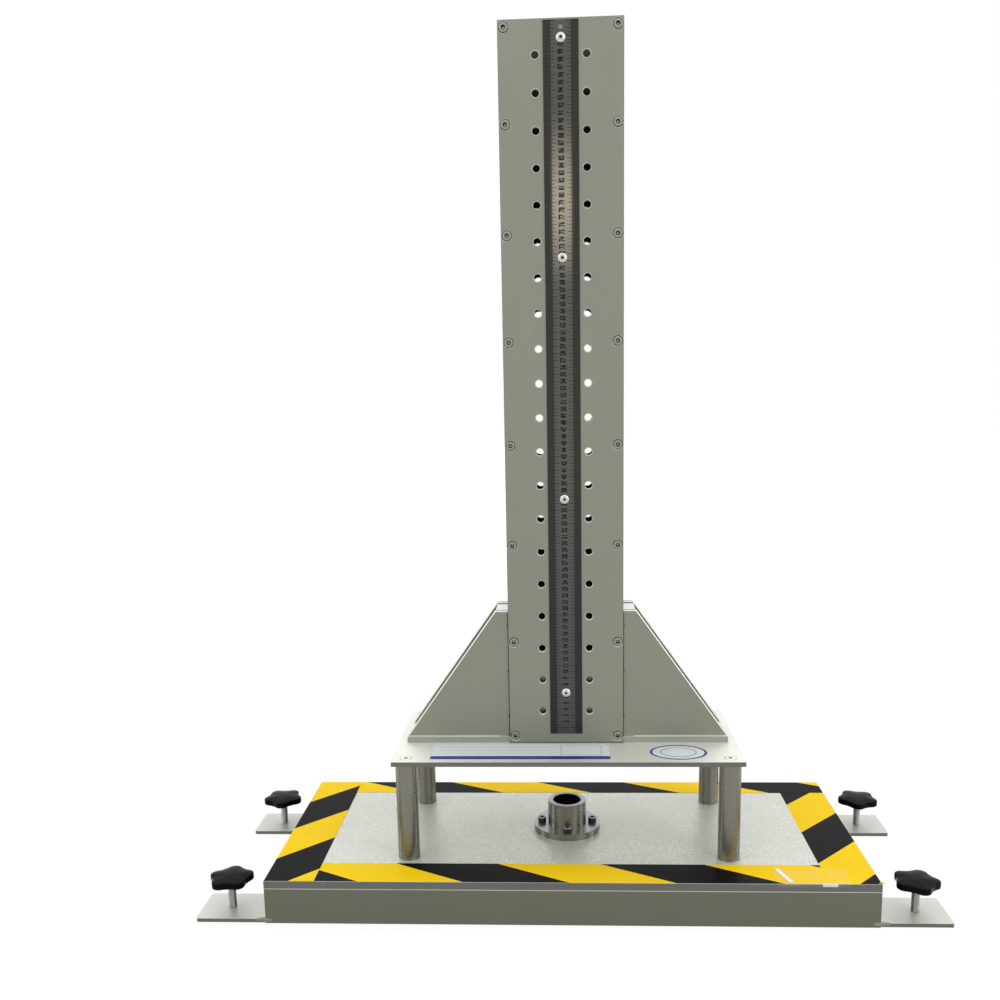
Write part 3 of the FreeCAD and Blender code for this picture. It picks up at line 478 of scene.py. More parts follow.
def finish_of(name):
    """The material of that name, made when first asked for. A word among its values names a colour."""
    if name not in FINISHES:
        maker, *values = MAKERS[name]
        values = [getattr(tester_colours(), value) if isinstance(value, str) else value for value in values]
        FINISHES[name] = maker(name, *values)
    return FINISHES[name]


# ---- Mesh tools


def added(name, data):
    """A new object in the scene."""
    item = bpy.data.objects.new(name, data)
    bpy.context.scene.collection.objects.link(item)
    return item


def new_piece(name, bm, materials, body="tester", smooth=None, replaces=()):
    """Ends a bmesh as a piece that rides on a body. smooth is the angle in degrees that stays sharp."""
    mesh = bpy.data.meshes.new(name)
    bmesh.ops.recalc_face_normals(bm, faces=bm.faces)
    if smooth:
        for face in bm.faces:
            face.smooth = True
        limit = radians(smooth)
        for edge in bm.edges:
            edge.smooth = edge.is_manifold and edge.calc_face_angle(0.0) < limit
    bm.to_mesh(mesh)
    bm.free()
    piece = added(name, mesh)
    for material in materials:
        mesh.materials.append(finish_of(material))
    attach(piece, body)
    if replaces:
        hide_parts(*replaces)


def clad(material, *nodes):
    """Gives CAD nodes their finish."""
    for node in nodes:
        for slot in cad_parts[node].material_slots:
            slot.material = finish_of(material)


def placed(middle, size):
    """The matrix that stretches a shape of unit size and moves it."""
    return Matrix.Translation(middle) @ Matrix.Diagonal((*size, 1.0))


def add_drop(bm, middle, radii):
    bmesh.ops.create_icosphere(bm, subdivisions=2, radius=1.0, matrix=placed(middle, radii))


def add_box(bm, low, high, material=0):
    middle = [(a + b) / 2 for a, b in zip(low, high)]
    size = [b - a for a, b in zip(low, high)]
    verts = bmesh.ops.create_cube(bm, size=1.0, matrix=placed(middle, size))["verts"]
    for face in {face for vert in verts for face in vert.link_faces}:
        face.material_index = material


def add_frame(bm, low, high, line, bottom, top, short=0.0, material=0):
    """Four bars just inside a rectangle. Those along Y stop short of its ends."""
    (x0, y0), (x1, y1) = low, high
    add_box(bm, (x0, y0, bottom), (x1, y0 + line, top), material)
    add_box(bm, (x0, y1 - line, bottom), (x1, y1, top), material)
    add_box(bm, (x0, y0 + short, bottom), (x0 + line, y1 - short, top), material)
    add_box(bm, (x1 - line, y0 + short, bottom), (x1, y1 - short, top), material)


def cut_off(bm, place, outwards):
    """Removes what lies beyond a plane, and returns the cut edges."""
    everything = bm.verts[:] + bm.edges[:] + bm.faces[:]
    cut = bmesh.ops.bisect_plane(bm, geom=everything, plane_co=place, plane_no=outwards, clear_outer=True)
    return [item for item in cut["geom_cut"] if isinstance(item, bmesh.types.BMEdge)]


def edge_broken(node, material, cut=None, shortest=0.015, width=None, inside=None):
    """A copy of a CAD plate with its long edges broken, which stands for the node.

    cut names another finish for the broken edges. inside is how far the tower's dark channel reaches in
    X and Y.
    """
    blunt = radians(25)
    bm = bmesh.new()
    bm.from_mesh(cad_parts[node].data)
    bmesh.ops.remove_doubles(bm, verts=bm.verts, dist=0.000002)
    long_edges = [edge for edge in bm.edges if edge.is_manifold and edge.calc_length() > shortest]
    sharp = [edge for edge in long_edges if edge.calc_face_angle(0.0) > blunt]
    offset = width or tester_sizes().edge_break
    broken = bmesh.ops.bevel(
        bm, geom=sharp, offset=offset, segments=2, profile=0.5, affect="EDGES", material=-1
    )
    for face in broken["faces"]:
        face.material_index = 1
    finishes = [material, cut or material, "cut_steel_highlight"]
    for face in bm.faces:
        # Countersinks, which lean about 45 degrees to Y, are pale: bare cut steel, painted paler as a
        # highlight.
        if 0.65 < abs(face.normal.y) < 0.76 and abs(face.normal.x) < 0.75:
            face.material_index = 2
    # Painted shade: faces inside the tower are painted dark.
    if inside:
        finishes.append("tower_inside")
        for face in bm.faces:
            middle = face.calc_center_median()
            if abs(middle.x) < inside[0] and abs(middle.y) < inside[1]:
                face.material_index = 3
    new_piece(node + "_plate", bm, finishes, replaces=(node,))


def centre_of(node):
    low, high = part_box(node)
    return [(a + b) / 2 for a, b in zip(low, high)]


def paint_round(face, material):
    """Gives a finish to a face and to those that meet it."""
    for edge in face.edges:
        for other in edge.link_faces:
            other.material_index = material


def socket_in(bm, face, across, depth, floor):
    """Sinks a hex socket into a round flat face whose corners lie every 15 degrees.

    Its walls have the second finish. floor is the finish of its floor.
    """
    rim, narrowing = across * 0.2, 0.62
    middle = face.calc_center_median()
    normal = face.normal.copy()
    bmesh.ops.inset_individual(bm, faces=[face], thickness=rim)
    side = normal.orthogonal().normalized()
    up = normal.cross(side)
    for vert in face.verts:
        offset = vert.co - middle
        angle = atan2(offset.dot(up), offset.dot(side))
        wedge = angle % radians(60) - radians(30)
        reach = across / 2 / cos(wedge)
        vert.co = middle + (side * cos(angle) + up * sin(angle)) * reach
    sunk = bmesh.ops.extrude_discrete_faces(bm, faces=[face])["faces"][0]
    for vert in sunk.verts:
        vert.co = middle + (vert.co - middle) * narrowing - normal * depth
    paint_round(sunk, 1)
    sunk.material_index = floor


def add_post(bm, rings, segments):
    """A round post about Z through (radius, height) rings, bottom to top."""
    verts = bmesh.ops.create_circle(bm, cap_ends=True, segments=segments, radius=rings[0][0])["verts"]
    bmesh.ops.translate(bm, verts=verts, vec=(0, 0, rings[0][1]))
    face = verts[0].link_faces[0]
    for (last, _), (radius, height) in zip(rings, rings[1:]):
        face = bmesh.ops.extrude_discrete_faces(bm, faces=[face])["faces"][0]
        for vert in face.verts:
            vert.co.xy *= radius / last
            vert.co.z = height


def round_head(rings, across, depth, knurl=0.0, shadow_gap=False, highlight_top=False):
    """A screw about Z from (radius, height) rings, bottom to top, with a hex socket in its top.

    gap darkens the last ring, where a flush head stands in its countersink. pale_top gives the top face
    and its broken edge the third finish.
    """
    bm = bmesh.new()
    add_post(bm, rings, 24)
    if knurl:
        for vert in bm.verts:
            step = round(atan2(vert.co.y, vert.co.x) / radians(15))
            if step % 2 and vert.co.xy.length > rings[-1][0]:
                vert.co.xy *= 1 - knurl
    bmesh.ops.recalc_face_normals(bm, faces=bm.faces)
    top = max(bm.faces, key=lambda face: face.calc_center_median().z)
    # Painted shadow: the ring round a flush head is dark.
    if shadow_gap:
        paint_round(top, 1)
        top.material_index = 0
    socket_in(bm, top, across, depth, 0 if shadow_gap else 1)
    # Painted highlight: the top face and its broken edge are paler.
    if highlight_top:
        for face in bm.faces:
            if face.material_index == 0 and face.calc_center_median().z > rings[-2][1]:
                face.material_index = 2
    return bm


def add_screws(name, single, places, materials, node, tilt=0):
    """Copies of one screw, tilted about X and set at several places, as the piece that replaces a node."""
    mesh = bpy.data.meshes.new("single")
    if tilt:
        turn = Matrix.Rotation(radians(tilt), 4, "X")
        bmesh.ops.transform(single, matrix=turn, verts=single.verts)
    single.to_mesh(mesh)
    single.free()
    bm = bmesh.new()
    for place in places:
        before = len(bm.verts)
        bm.from_mesh(mesh)
        bm.verts.ensure_lookup_table()
        bmesh.ops.translate(bm, verts=bm.verts[before:], vec=place)
    bpy.data.meshes.remove(mesh)
    new_piece(name, bm, materials, smooth=35, replaces=(node,))


# ---- Pieces


def build_plinth():
    """Finishes the plinth and its joint line"""
    edge_broken("base_top_plate", "plinth_top", shortest=0.1)
    # The rails take the plinth's darkened side colour, a painted shade.
    clad("plinth_side", "front_rail", "rear_rail", "left_rail", "right_rail")
    clad("plinth_side", "cross_rail_left", "cross_rail_right", "anvil_block")
    clad("black_oxide", "column_foot_bolts")
    # The thin bright line where the top plate meets the rails.
    low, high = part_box("base_top_plate")
    proud, half = 0.00025, 0.0006
    outer = (low[0] - proud, low[1] - proud), (high[0] + proud, high[1] + proud)
    bm = bmesh.new()
    add_frame(bm, *outer, proud + half, low[2] - half, low[2] + half, short=proud)
    new_piece("plinth_joint_line", bm, ["joint_line"])


def stripe_strip(name, edge, span, width, first, step, slant, first_is_black, lift):
    """One strip of hazard tape.

    edge is the axis that it runs along (0 or 1), the place of its outer edge on the other axis, and the
    way inwards. The stripes' borders meet the outer edge at first, first + step and so on, and the inner
    edge slant further along.
    """
    bm = bmesh.new()
    low, high = span
    count = int((high - low + 2 * abs(slant)) / step) + 3
    start = first - step * (int((first - low + abs(slant)) / step) + 1)
    for i in range(count):
        a = start + i * step
        corners = [(a, 0.0), (a + step, 0.0), (a + step + slant, width), (a + slant, width)]
        face = bm.faces.new([bm.verts.new((*corner, 0.0)) for corner in corners])
        order = round((a - first) / step)
        face.material_index = (order + first_is_black) % 2
    cut_off(bm, (low, 0, 0), (-1, 0, 0))
    cut_off(bm, (high, 0, 0), (1, 0, 0))
    bmesh.ops.remove_doubles(bm, verts=bm.verts, dist=0.00001)
    axis, outer, inwards = edge
    for vert in bm.verts:
        place = (vert.co.x, outer + inwards * vert.co.y)
        vert.co = (*(place[::-1] if axis else place), lift)
    bmesh.ops.recalc_face_normals(bm, faces=bm.faces)
    if bm.faces[:][0].normal.z < 0:
        bmesh.ops.reverse_faces(bm, faces=bm.faces)
    bmesh.ops.solidify(bm, geom=bm.faces[:], thickness=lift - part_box("base_top_plate")[1][2])
    new_piece(name, bm, ["yellow_tape", "black_tape"])


def build_hazard_tape():
    """Lays the striped tape round the plinth's top"""
    s = tester_sizes()
    low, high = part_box("base_top_plate")
    inset = 0.0008
    x0, x1, y0, y1 = low[0] + inset, high[0] - inset, low[1] + inset, high[1] - inset
    under = 0.01

    # Laid in this order, so each strip laps over the ones before it at the corners.
    top = high[2] + s.tape_thickness
    lap = s.tape_thickness * 1.1
    long_step, short_step = s.stripe_long, s.stripe_short
    span = (x0 + under, x1 - under)
    front, right, rear, left = (0, y0, 1), (1, x1, -1), (0, y1, -1), (1, x0, 1)
    stripe_strip("tape_front", front, span, s.tape_front, -0.308, long_step, -0.107, False, top)
    stripe_strip("tape_right", right, (y0, y1), s.tape_side, -0.050, short_step, -0.076, True, top + lap)
    span = (x0 + under, x1)
    stripe_strip("tape_rear", rear, span, s.tape_rear, -0.207, long_step, 0.095, False, top + 2 * lap)
    stripe_strip("tape_left", left, (y0, y1), s.tape_side, -0.011, short_step, 0.076, True, top + 3 * lap)

    # A scrap of clear tape holds down the front right corner and laps over the plinth's edge.
    bm = bmesh.new()
    x, width, far, near = 0.300, 0.105, -0.138, low[1] - 0.0006
    over = top + 4 * lap
    outline = [(far, over), (y0 + 0.003, over), (near + 0.0006, over - 0.0005), (near, over - 0.0016)]
    outline.append((near - 0.0006, high[2] - 0.0035))
    verts = [bm.verts.new((x, y, z)) for y, z in outline]
    edges = [bm.edges.new(pair) for pair in zip(verts, verts[1:])]
    wide = bmesh.ops.extrude_edge_only(bm, edges=edges)["geom"]
    shifted = [item for item in wide if isinstance(item, bmesh.types.BMVert)]
    bmesh.ops.translate(bm, verts=shifted, vec=(width, 0, 0))
    new_piece("tape_clear_scrap", bm, ["clear_film"], smooth=60)

    # The corner of the right strip has come loose and curls up past the plinth.
    bm = bmesh.new()
    root = top + lap + 0.0001
    outline = [(x1 - 0.005, y0, root), (x1 + 0.005, y0 - 0.001, root + 0.0020), (x1, y0 + 0.007, root)]
    face = bm.faces.new([bm.verts.new(place) for place in outline])
    bmesh.ops.solidify(bm, geom=[face], thickness=s.tape_thickness)
    new_piece("tape_curled_corner", bm, ["yellow_tape"])


def build_feet():
    """Finishes the foot plates and adds their weld beads"""
    for corner in CORNERS:
        edge_broken("foot_plate_" + corner, "foot_steel")
    # A short flat weld bead, under the paint, runs round the plinth's corner onto each foot plate.
    bm = bmesh.new()
    for corner in CORNERS:
        low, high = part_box("foot_plate_" + corner)
        side = -1 if "left" in corner else 1
        wall = high[0] if side < 0 else low[0]
        outer = low[1] if "front" in corner else high[1]
        for i in range(-2, 4):
            swell = 1.0 - 0.12 * abs(i)
            radii = [radius * swell for radius in (0.0040, 0.0032, 0.0042)]
            add_drop(bm, (wall + side * i * 0.0040, outer, high[2] - 0.0012), radii)
    new_piece("foot_weld_beads", bm, ["weld"], smooth=80)


def build_levelling_studs():
    """Cuts the threads of the levelling studs"""
    s = tester_sizes()
    for corner in CORNERS:
        node = "levelling_stud_" + corner
        low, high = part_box(node)
        x, y, _ = centre_of(node)
        crest = (high[0] - low[0]) / 2
        root = crest - s.thread_depth
        pitch = s.stud_pitch
        turns = int((high[2] - low[2]) / pitch) + 3
        steps = 20
        bm = bmesh.new()
        profile = ((root, 0.0), (root, 0.1), (crest, 0.38), (crest, 0.62), (root, 0.9), (root, 1.0))
        verts = [bm.verts.new((radius, 0.0, part * pitch)) for radius, part in profile]
        edges = [bm.edges.new(pair) for pair in zip(verts, verts[1:])]
        bmesh.ops.spin(
            bm, geom=verts + edges, cent=(0, 0, 0), axis=(0, 0, 1), dvec=(0, 0, pitch / steps),
            angle=2 * pi * turns, steps=steps * turns, use_merge=False,
        )
        bmesh.ops.remove_doubles(bm, verts=bm.verts, dist=0.00001)
        bmesh.ops.translate(bm, verts=bm.verts, vec=(x, y, low[2] - 1.5 * pitch))
        for height, direction in ((low[2] + 0.0004, -1), (high[2] - 0.0004, 1)):
            bmesh.ops.holes_fill(bm, edges=cut_off(bm, (0, 0, height), (0, 0, direction)), sides=0)
        body = "stud_" + corner
        new_piece("threaded_" + node, bm, ["stud_steel"], body, smooth=50, replaces=(node,))


def star_radius(angle, tip, lobe, reach, lobes):
    """The knob's outline in polar form: convex lobe arcs joined by tangent hollows."""
    half = pi / lobes
    off = abs((angle + half) % (2 * half) - half)
    lobe_centre = tip - lobe
    span = sqrt(lobe_centre**2 + reach**2 - 2 * lobe_centre * reach * cos(half))
    hollow = span - lobe
    # The arcs touch on the line between their centres.
    touch_x = lobe_centre + (reach * cos(half) - lobe_centre) * lobe / span
    touch_y = reach * sin(half) * lobe / span
    if off <= atan2(touch_y, touch_x):
        return lobe_centre * cos(off) + sqrt(lobe**2 - (lobe_centre * sin(off)) ** 2)
    away = half - off
    return reach * cos(away) - sqrt(hollow**2 - (reach * sin(away)) ** 2)


def build_star_knobs():
    """Moulds the star knobs"""
    turns = {"front_left": 22, "front_right": -11, "rear_left": -13, "rear_right": 41}
    tip, lobe, reach, lobes = 0.0335, 0.0115, 0.060, 5
    hub_height, rim, crown = 0.006, 0.010, 0.002
    top = hub_height + rim
    # How far each ring of the head stands in from the outline, and its height over the hub or the rim.
    lower = [(0.0026, 0.0001), (0.0010, 0.0003), (0.0003, 0.0009), (0.0, 0.0017)]
    upper = [(0.0, -0.0016), (0.0002, -0.0009), (0.0006, -0.0003), (0.0013, 0.0)]
    upper += [(0.0080, crown * 0.48), (0.0160, crown * 0.90), (0.0230, crown)]
    rings = [(inset, hub_height + rise) for inset, rise in lower]
    rings += [(inset, top + rise) for inset, rise in upper]
    for corner in CORNERS:
        node = "star_knob_" + corner
        x, y, _ = centre_of("levelling_stud_" + corner)
        phase = radians(turns[corner])
        bm = bmesh.new()
        verts = bmesh.ops.create_circle(bm, cap_ends=True, segments=120, radius=tip)["verts"]
        face = verts[0].link_faces[0]
        angles = [atan2(vert.co.y, vert.co.x) for vert in face.verts]
        outline = [(angle, star_radius(angle, tip, lobe, reach, lobes)) for angle in angles]
        waist = min(radius for _, radius in outline)

        def lay(face, inset, height):
            # Rings further in are rounder.
            round_off = 0.8 * min(1.0, inset / 0.022)
            for vert, (angle, radius) in zip(face.verts, outline):
                radius = radius - inset
                radius += (waist - inset - radius) * round_off
                vert.co = (radius * cos(angle), radius * sin(angle), height)

        lay(face, *rings[0])
        for inset, height in rings[1:]:
            face = bmesh.ops.extrude_discrete_faces(bm, faces=[face])["faces"][0]
            lay(face, inset, height)
        hub = [(0.0071, 0.0), (0.0075, 0.0004), (0.0118, 0.0024), (0.0162, 0.0046), (0.0178, 0.0058)]
        add_post(bm, hub + [(0.0180, 0.0090)], 48)
        bmesh.ops.rotate(bm, verts=bm.verts, cent=(0, 0, 0), matrix=Matrix.Rotation(phase, 3, "Z"))
        bmesh.ops.translate(bm, verts=bm.verts, vec=(x, y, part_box(node)[0][2]))
        body = "knob_" + corner
        new_piece("moulded_" + node, bm, ["knob_plastic"], body, smooth=40, replaces=(node,))


def build_anvil_bush():
    """Finishes the bush and its screws"""
    clad("bush_steel", "anvil_bush")
    flange, height, circle = 0.010, 0.008, 0.0405
    rings = [(0.0040, -0.020), (0.0040, 0.0), (0.0062, 0.0), (0.0065, 0.0004), (0.0065, height - 0.0008)]
    # The cap screws' tops are painted pale, a painted highlight.
    head = round_head(rings + [(0.0058, height)], 0.006, 0.004, knurl=0.05, highlight_top=True)
    flange_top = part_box("anvil_bush")[0][2] + flange
    places = [(circle * i, circle * j, flange_top) for i, j in ((1, 0), (0, 1), (-1, 0), (0, -1))]
    add_screws("bush_cap_screws", head, places, ["black_oxide", "socket_shade", "screw_steel"], "bush_screws")


def build_columns():
    """Finishes the columns"""
    for corner in CORNERS:
        node = "column_" + corner
        name = "column_steel_" + corner
        FINISHES[name] = turned_steel(name, tester_colours().column, centre_of(node)[:2])
        clad(name, node)


def build_platform():
    """Finishes the platform, its screws, label and sticker"""
    s = tester_sizes()
    edge_broken("platform_plate", "platform_steel", shortest=0.1)
    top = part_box("platform_plate")[1][2]
    # Flush countersunk screws over the columns.
    rings = [(0.0050, -0.0335), (0.0050, -0.0045), (0.0095, -0.0005), (0.0087, 0.0)]
    head = round_head(rings, 0.006, s.socket_depth, shadow_gap=True)
    places = [(*centre_of("column_" + corner)[:2], top) for corner in CORNERS]
    add_screws("platform_screws", head, places, ["strip_steel", "flush_gap_shade"], "column_top_screws")

    # A plain label with a band and empty ruled lines, and a plain oval sticker with two rings.
    thickness = 0.00012
    x0, y0 = -0.206, -0.1115
    x1, y1 = x0 + s.label_length, y0 + s.label_width
    bm = bmesh.new()
    add_box(bm, (x0, y0, top), (x1, y1, top + thickness))
    over = top + thickness * 1.6
    band, margin, frame_side, rule = 0.0125, 0.012, 0.062, 0.0007
    add_box(bm, (x0, y0, top), (x1, y0 + band, over), 1)
    for y in (y0 + 2 * margin, y0 + 3 * margin, y0 + 4 * margin):
        add_box(bm, (x0 + margin, y, top), (x1 - 0.087, y + rule, over), 2)
    low, high = (x1 - margin - frame_side, y0 + 0.019), (x1 - margin, y1 - 0.006)
    add_frame(bm, low, high, 0.0008, top, over, material=2)
    new_piece("platform_label", bm, ["label_ground", "label_band", "label_line"])

    centre = Vector((0.1685, -0.083, top))
    bm = bmesh.new()
    for outer, inner, material, lift in ((1.0, 0.0, 0, 1.0), (0.98, 0.86, 1, 1.6), (0.62, 0.58, 1, 1.6)):
        middle = centre + Vector((0, 0, thickness * lift))
        oval = placed(middle, (s.sticker_length / 2, s.sticker_width / 2, 1.0))
        disc = bmesh.ops.create_circle(bm, cap_ends=True, segments=72, radius=outer, matrix=oval)
        face = disc["verts"][0].link_faces[0]
        face.material_index = material
        if inner:
            bmesh.ops.inset_individual(bm, faces=[face], thickness=(outer - inner) * s.sticker_width / 2)
            bmesh.ops.delete(bm, geom=[face], context="FACES")
    bmesh.ops.solidify(bm, geom=bm.faces[:], thickness=thickness * 0.9)
    new_piece("platform_sticker", bm, ["label_ground", "label_band"])


def build_tower():
    """Finishes the tower's four plates"""
    groove = 0.0055
    # How far the painted shade inside the tower reaches.
    inside = (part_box("tower_side_right")[0][0] + groove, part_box("tower_side_right")[1][1] + 0.0001)
    for node in ("tower_front_plate", "tower_rear_plate", "tower_side_left", "tower_side_right"):
        edge_broken(node, "plate_steel", shortest=0.1, inside=inside)


def build_plate_screws():
    """Adds the screws down the tower's edges"""
    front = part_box("tower_front_plate")[0][1]
    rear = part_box("tower_rear_plate")[1][1]
    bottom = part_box("tower_side_left")[0][2]
    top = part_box("tower_side_left")[1][2]
    lowest, step, highest, from_side = 0.012, 0.150, 0.0098, 0.0085
    heights = [bottom + lowest + step * i for i in range(7)] + [top - highest]
    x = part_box("tower_side_right")[1][0] - from_side
    rings = [(0.0040, -0.024), (0.0040, -0.0043), (0.0080, -0.0007), (0.0065, 0.0)]
    for name, y, tilt in (("front_plate_screws", front, 90), ("rear_plate_screws", rear, -90)):
        head = round_head(rings, 0.0062, tester_sizes().socket_depth, shadow_gap=True)
        places = [(side * x, y, height) for side in (-1, 1) for height in heights]
        add_screws("socket_" + name, head, places, ["screw_steel", "socket_shade"], name, tilt=tilt)


def build_rule():
    """Graduates and numbers the steel rule"""
    low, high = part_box("steel_rule")
    half = (high[0] - low[0]) / 2
    zero = low[2] - 0.0003
    FINISHES["rule_face"] = rule_face("rule_face", zero, half)
    clad("rule_face", "steel_rule")
    bm = bmesh.new()
    size = tester_sizes().number_height
    # Stood up on the face and turned to read upwards.
    upwards = Matrix.Rotation(radians(90), 4, "X") @ Matrix.Rotation(radians(90), 4, "Z")
    for number in range(1, 101):
        text = bpy.data.curves.new("number", "FONT")
        text.body = str(number)
        text.size = size * 1.38
        text.offset = size * 0.055
        text.align_x = text.align_y = "CENTER"
        text.resolution_u = 2
        carrier = bpy.data.objects.new("number", text)
        mesh = bpy.data.meshes.new_from_object(carrier)
        before = len(bm.verts)
        bm.from_mesh(mesh)
        bm.verts.ensure_lookup_table()
        verts = bm.verts[before:]
        narrowed = Matrix.Diagonal((0.60 if number < 100 else 0.42, 1.0, 1.0, 1.0))
        place = Matrix.Translation((0, low[1] - 0.00002, zero + number * 0.010))
        bmesh.ops.transform(bm, matrix=place @ upwards @ narrowed, verts=verts)
        bpy.data.objects.remove(carrier)
        bpy.data.curves.remove(text)
        bpy.data.meshes.remove(mesh)
    new_piece("rule_numbers", bm, ["ink"])

    rings = [(0.0069, 0.0), (0.0070, 0.0004), (0.0066, 0.0011), (0.0048, 0.0021), (0.0034, 0.0024)]
    head = round_head(rings, 0.0038, 0.0016)
    heights = [low[2] + offset for offset in (0.066, 0.366, 0.714)] + [high[2] - 0.023]
    places = [(0.0, low[1] - 0.00005, height) for height in heights]
    finishes = ["zinc", "socket_shade"]
    add_screws("rule_screw_heads", head, places, finishes, "rule_screws", tilt=90)


def build_gussets():
    """Finishes the gussets beside the tower"""
    for side in ("left", "right"):
        for end in ("front", "rear"):
            node = f"gusset_{end}_{side}"
            # The gussets' broken edges take the pale cut steel, partly a painted highlight.
            edge_broken(node, "plate_steel", "cut_steel_highlight", shortest=0.005, width=0.0014)
        edge_broken("gusset_foot_" + side, "strip_steel", shortest=0.005)
        edge_broken("gusset_cap_" + side, "cap_steel_painted_light", shortest=0.005)


def build_seams():
    """Draws the joint lines between the tower and its gussets"""
    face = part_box("gusset_front_left")[0][1]
    tower_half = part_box("tower_front_plate")[1][0]
    foot_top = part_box("gusset_foot_left")[1][2]
    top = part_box("gusset_cap_left")[1][2] - 0.001
    proud, line = 0.0003, 0.0011
    # Painted shadow: dark beside the tower, and faint in the gussets where its side plates meet them.
    dark = bmesh.new()
    for side in (-1, 1):
        inner, outer = sorted((side * tower_half, side * (tower_half + line)))
        add_box(dark, (inner, face - proud, foot_top), (outer, face, top))
        # The dark line swells in three places.
        for height in (0.268, 0.340, 0.4115):
            add_drop(dark, (side * (tower_half + line * 0.5), face, height), (0.0016, 0.0006, 0.0024))
    new_piece("tower_joint_shadows", dark, ["seam"], smooth=60)
    faint = bmesh.new()
    thin, offset = 0.0004, 0.017
    for side in (-1, 1):
        x = side * (tower_half + offset)
        add_box(faint, (x - thin, face - thin / 2, foot_top + 0.004), (x + thin, face, top - 0.05))
        near, far = sorted((side * (tower_half + line), x))
        add_box(faint, (near, face - thin / 2, foot_top), (far, face, foot_top + 0.0007))
    new_piece("gusset_faint_joint_shadows", faint, ["faint_joint_shadow"])


def build_drop_weight():
    """Finishes the falling weight and its buffer"""
    clad("weight_steel", "falling_weight")
    clad("striker_steel", "striker")
    clad("zinc", "lifting_eye")
    clad("nylon", "guide_shoe_left", "guide_shoe_right")
    clad("rubber", "buffer_pad")


def studio_floor():
    """A pale floor that is white to the camera and in reflections, and keeps the tester's shadow."""
    bm = bmesh.new()
    bmesh.ops.create_grid(bm, x_segments=1, y_segments=1, size=12.0)
    mesh = bpy.data.meshes.new("studio_floor")
    bm.to_mesh(mesh)
    bm.free()
    floor = added("studio_floor", mesh)
    f = Finish("studio_floor")
    f.finish((0.55, 0.55, 0.54, 1.0), 0.9)
    # Only the floor near the tester takes its shadow.
    x, y = f.axis("X"), f.axis("Y")
    far = f.step((x * x + y * y) ** 0.5, 0.65, 1.6)
    white = f.node("ShaderNodeEmission", {}, [(1.0, 1.0, 1.0, 1.0), 1.14])
    lit = Value(f, f.shader.outputs["BSDF"])
    mixed = f.node("ShaderNodeMixShader", {}, [f.seen() * (0.78 + far * 0.22), lit, white])
    f.tree.links.new(mixed.socket, f.tree.nodes["Material Output"].inputs["Surface"])
    mesh.materials.append(f.material)


def studio_world():
    """White to the camera and in reflections. For light it is bright behind and dimmer in front."""
    world = bpy.data.worlds.new("studio")
    bpy.context.scene.world = world
    world.use_nodes = True
    tree = world.node_tree
    tree.nodes.clear()
    f = Shading(tree, "Generated")
    shades = ((0.97, 0.985, 1.0, 1.0), 0.34), ((0.97, 0.985, 1.0, 1.0), 0.66), ((1.0, 1.0, 1.0, 1.0), 1.0)
    front, rear, white = (f.node("ShaderNodeBackground", {}, shade) for shade in shades)
    light = f.node("ShaderNodeMixShader", {}, [f.step(f.axis("Y"), -0.6, 0.6), front, rear])
    mixed = f.node("ShaderNodeMixShader", {}, [f.seen(), light, white])
    tree.links.new(mixed.socket, tree.nodes.new("ShaderNodeOutputWorld").inputs["Surface"])


def softbox(name, place, target_height, size, watts, tint=(1.0, 1.0, 1.0)):
    """A rectangular lamp that faces the tester's axis at a height."""
    lamp = bpy.data.lights.new(name, "AREA")
    lamp.shape = "RECTANGLE"
    lamp.size, lamp.size_y = size
    lamp.energy = watts
    lamp.color = tint
    holder = added(name, lamp)
    holder.location = place
    aim = Vector((0.0, 0.0, target_height)) - Vector(place)
    holder.rotation_euler = aim.to_track_quat("-Z", "Y").to_euler()


def place_camera():
    """The photograph's view: a camera a little above the tower's middle, level to within a degree or two."""
    place = Vector((-0.00866, -1.57241, 0.7771))
    pitch, yaw, roll = 0.17795, 0.05069, -0.01855
    focal, middle_x, middle_y = 1.02689, 0.50808, 0.56899
    ahead = Vector((-sin(yaw) * cos(pitch), cos(yaw) * cos(pitch), -sin(pitch)))
    flat_right = Vector((cos(yaw), sin(yaw), 0.0))
    flat_down = ahead.cross(flat_right)
    right = flat_right * cos(roll) - flat_down * sin(roll)
    down = flat_right * sin(roll) + flat_down * cos(roll)
    data = bpy.data.cameras.new("photo_view")
    data.sensor_fit = "HORIZONTAL"
    data.sensor_width = 36.0
    data.lens = focal * data.sensor_width
    data.shift_x = 0.5 - middle_x
    data.shift_y = middle_y - 0.5
    data.clip_start = 0.01
    camera = added("photo_view", data)
    turn = Matrix((right, -down, -ahead)).transposed().to_4x4()
    camera.matrix_world = Matrix.Translation(place) @ turn
    bpy.context.scene.camera = camera


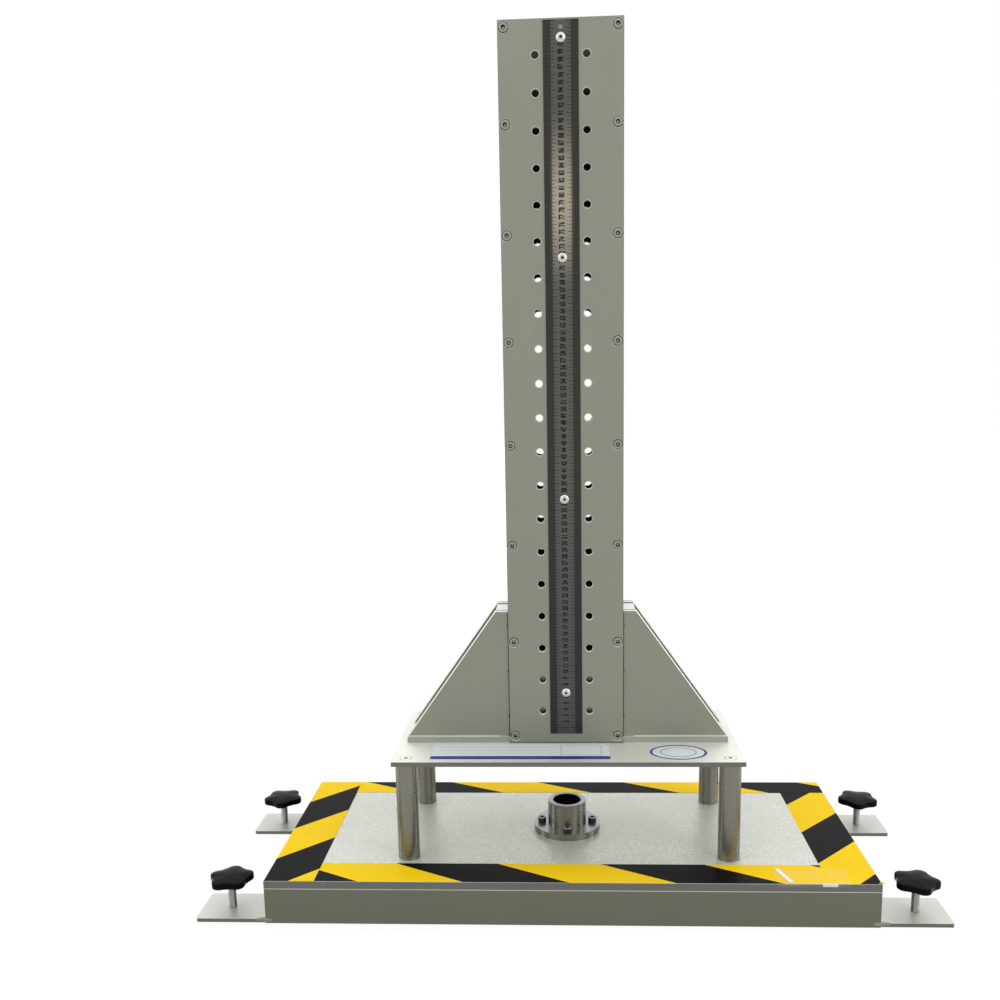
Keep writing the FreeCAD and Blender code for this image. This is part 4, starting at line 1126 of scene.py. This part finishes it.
def build_stage():
    """Adds the floor, the lights and the camera"""
    bpy.context.scene.view_settings.view_transform = "Standard"
    studio_floor()
    studio_world()
    softbox("overhead", (0.0, 0.2, 3.0), 0.3, (7.0, 6.0), 101.0, (1.0, 0.99, 0.97))
    softbox("left_fill", (-2.2, -1.8, 2.1), 0.5, (1.4, 1.8), 13.0)
    softbox("right_fill", (2.2, -1.8, 2.0), 0.5, (1.4, 1.8), 20.0)
    for name, x in (("left_strip", -2.6), ("right_strip", 2.6)):
        softbox(name, (x, 0.1, 0.6), 0.1, (0.3, 1.4), 12.0)
    place_camera()


# ---- The add-on


def make_operator(build):
    """An operator class that builds one piece or one group of pieces."""
    key = build.__name__.removeprefix("build_")

    def execute(self, context):
        build()
        return {"FINISHED"}

    members = {
        "__doc__": build.__doc__,
        "bl_idname": "tester." + key,
        "bl_label": key.replace("_", " ").title(),
        "bl_options": {"REGISTER", "UNDO"},
        "execute": execute,
    }
    return type("TESTER_OT_" + key, (bpy.types.Operator,), members)


BUILDERS = (
    build_stage, build_plinth, build_hazard_tape, build_feet, build_levelling_studs, build_star_knobs,
    build_anvil_bush, build_columns, build_platform, build_tower, build_plate_screws, build_rule,
    build_gussets, build_seams, build_drop_weight,
)
OPERATORS = [make_operator(build) for build in BUILDERS]


class TESTER_PT_sidebar(bpy.types.Panel):
    """Lists the tester's sizes, colours and operators"""

    bl_idname = "TESTER_PT_sidebar"
    bl_label = "Impact Tester"
    bl_space_type = "VIEW_3D"
    bl_region_type = "UI"
    bl_category = "Impact Tester"

    def draw(self, context):
        for group in (context.scene.tester_sizes, context.scene.tester_colours):
            box = self.layout.box()
            for name in group.__annotations__:
                box.prop(group, name)
        for operator in OPERATORS:
            self.layout.operator(operator.bl_idname)


CLASSES = [TesterSizes, TesterColours, *OPERATORS, TESTER_PT_sidebar]


def register():
    for item in CLASSES:
        bpy.utils.register_class(item)
    bpy.types.Scene.tester_sizes = PointerProperty(type=TesterSizes)
    bpy.types.Scene.tester_colours = PointerProperty(type=TesterColours)


def unregister():
    del bpy.types.Scene.tester_colours
    del bpy.types.Scene.tester_sizes
    for item in reversed(CLASSES):
        bpy.utils.unregister_class(item)


def main():
    register()
    for operator in OPERATORS:
        group, name = operator.bl_idname.split(".")
        getattr(getattr(bpy.ops, group), name)()


if __name__ == "__main__":
    main()
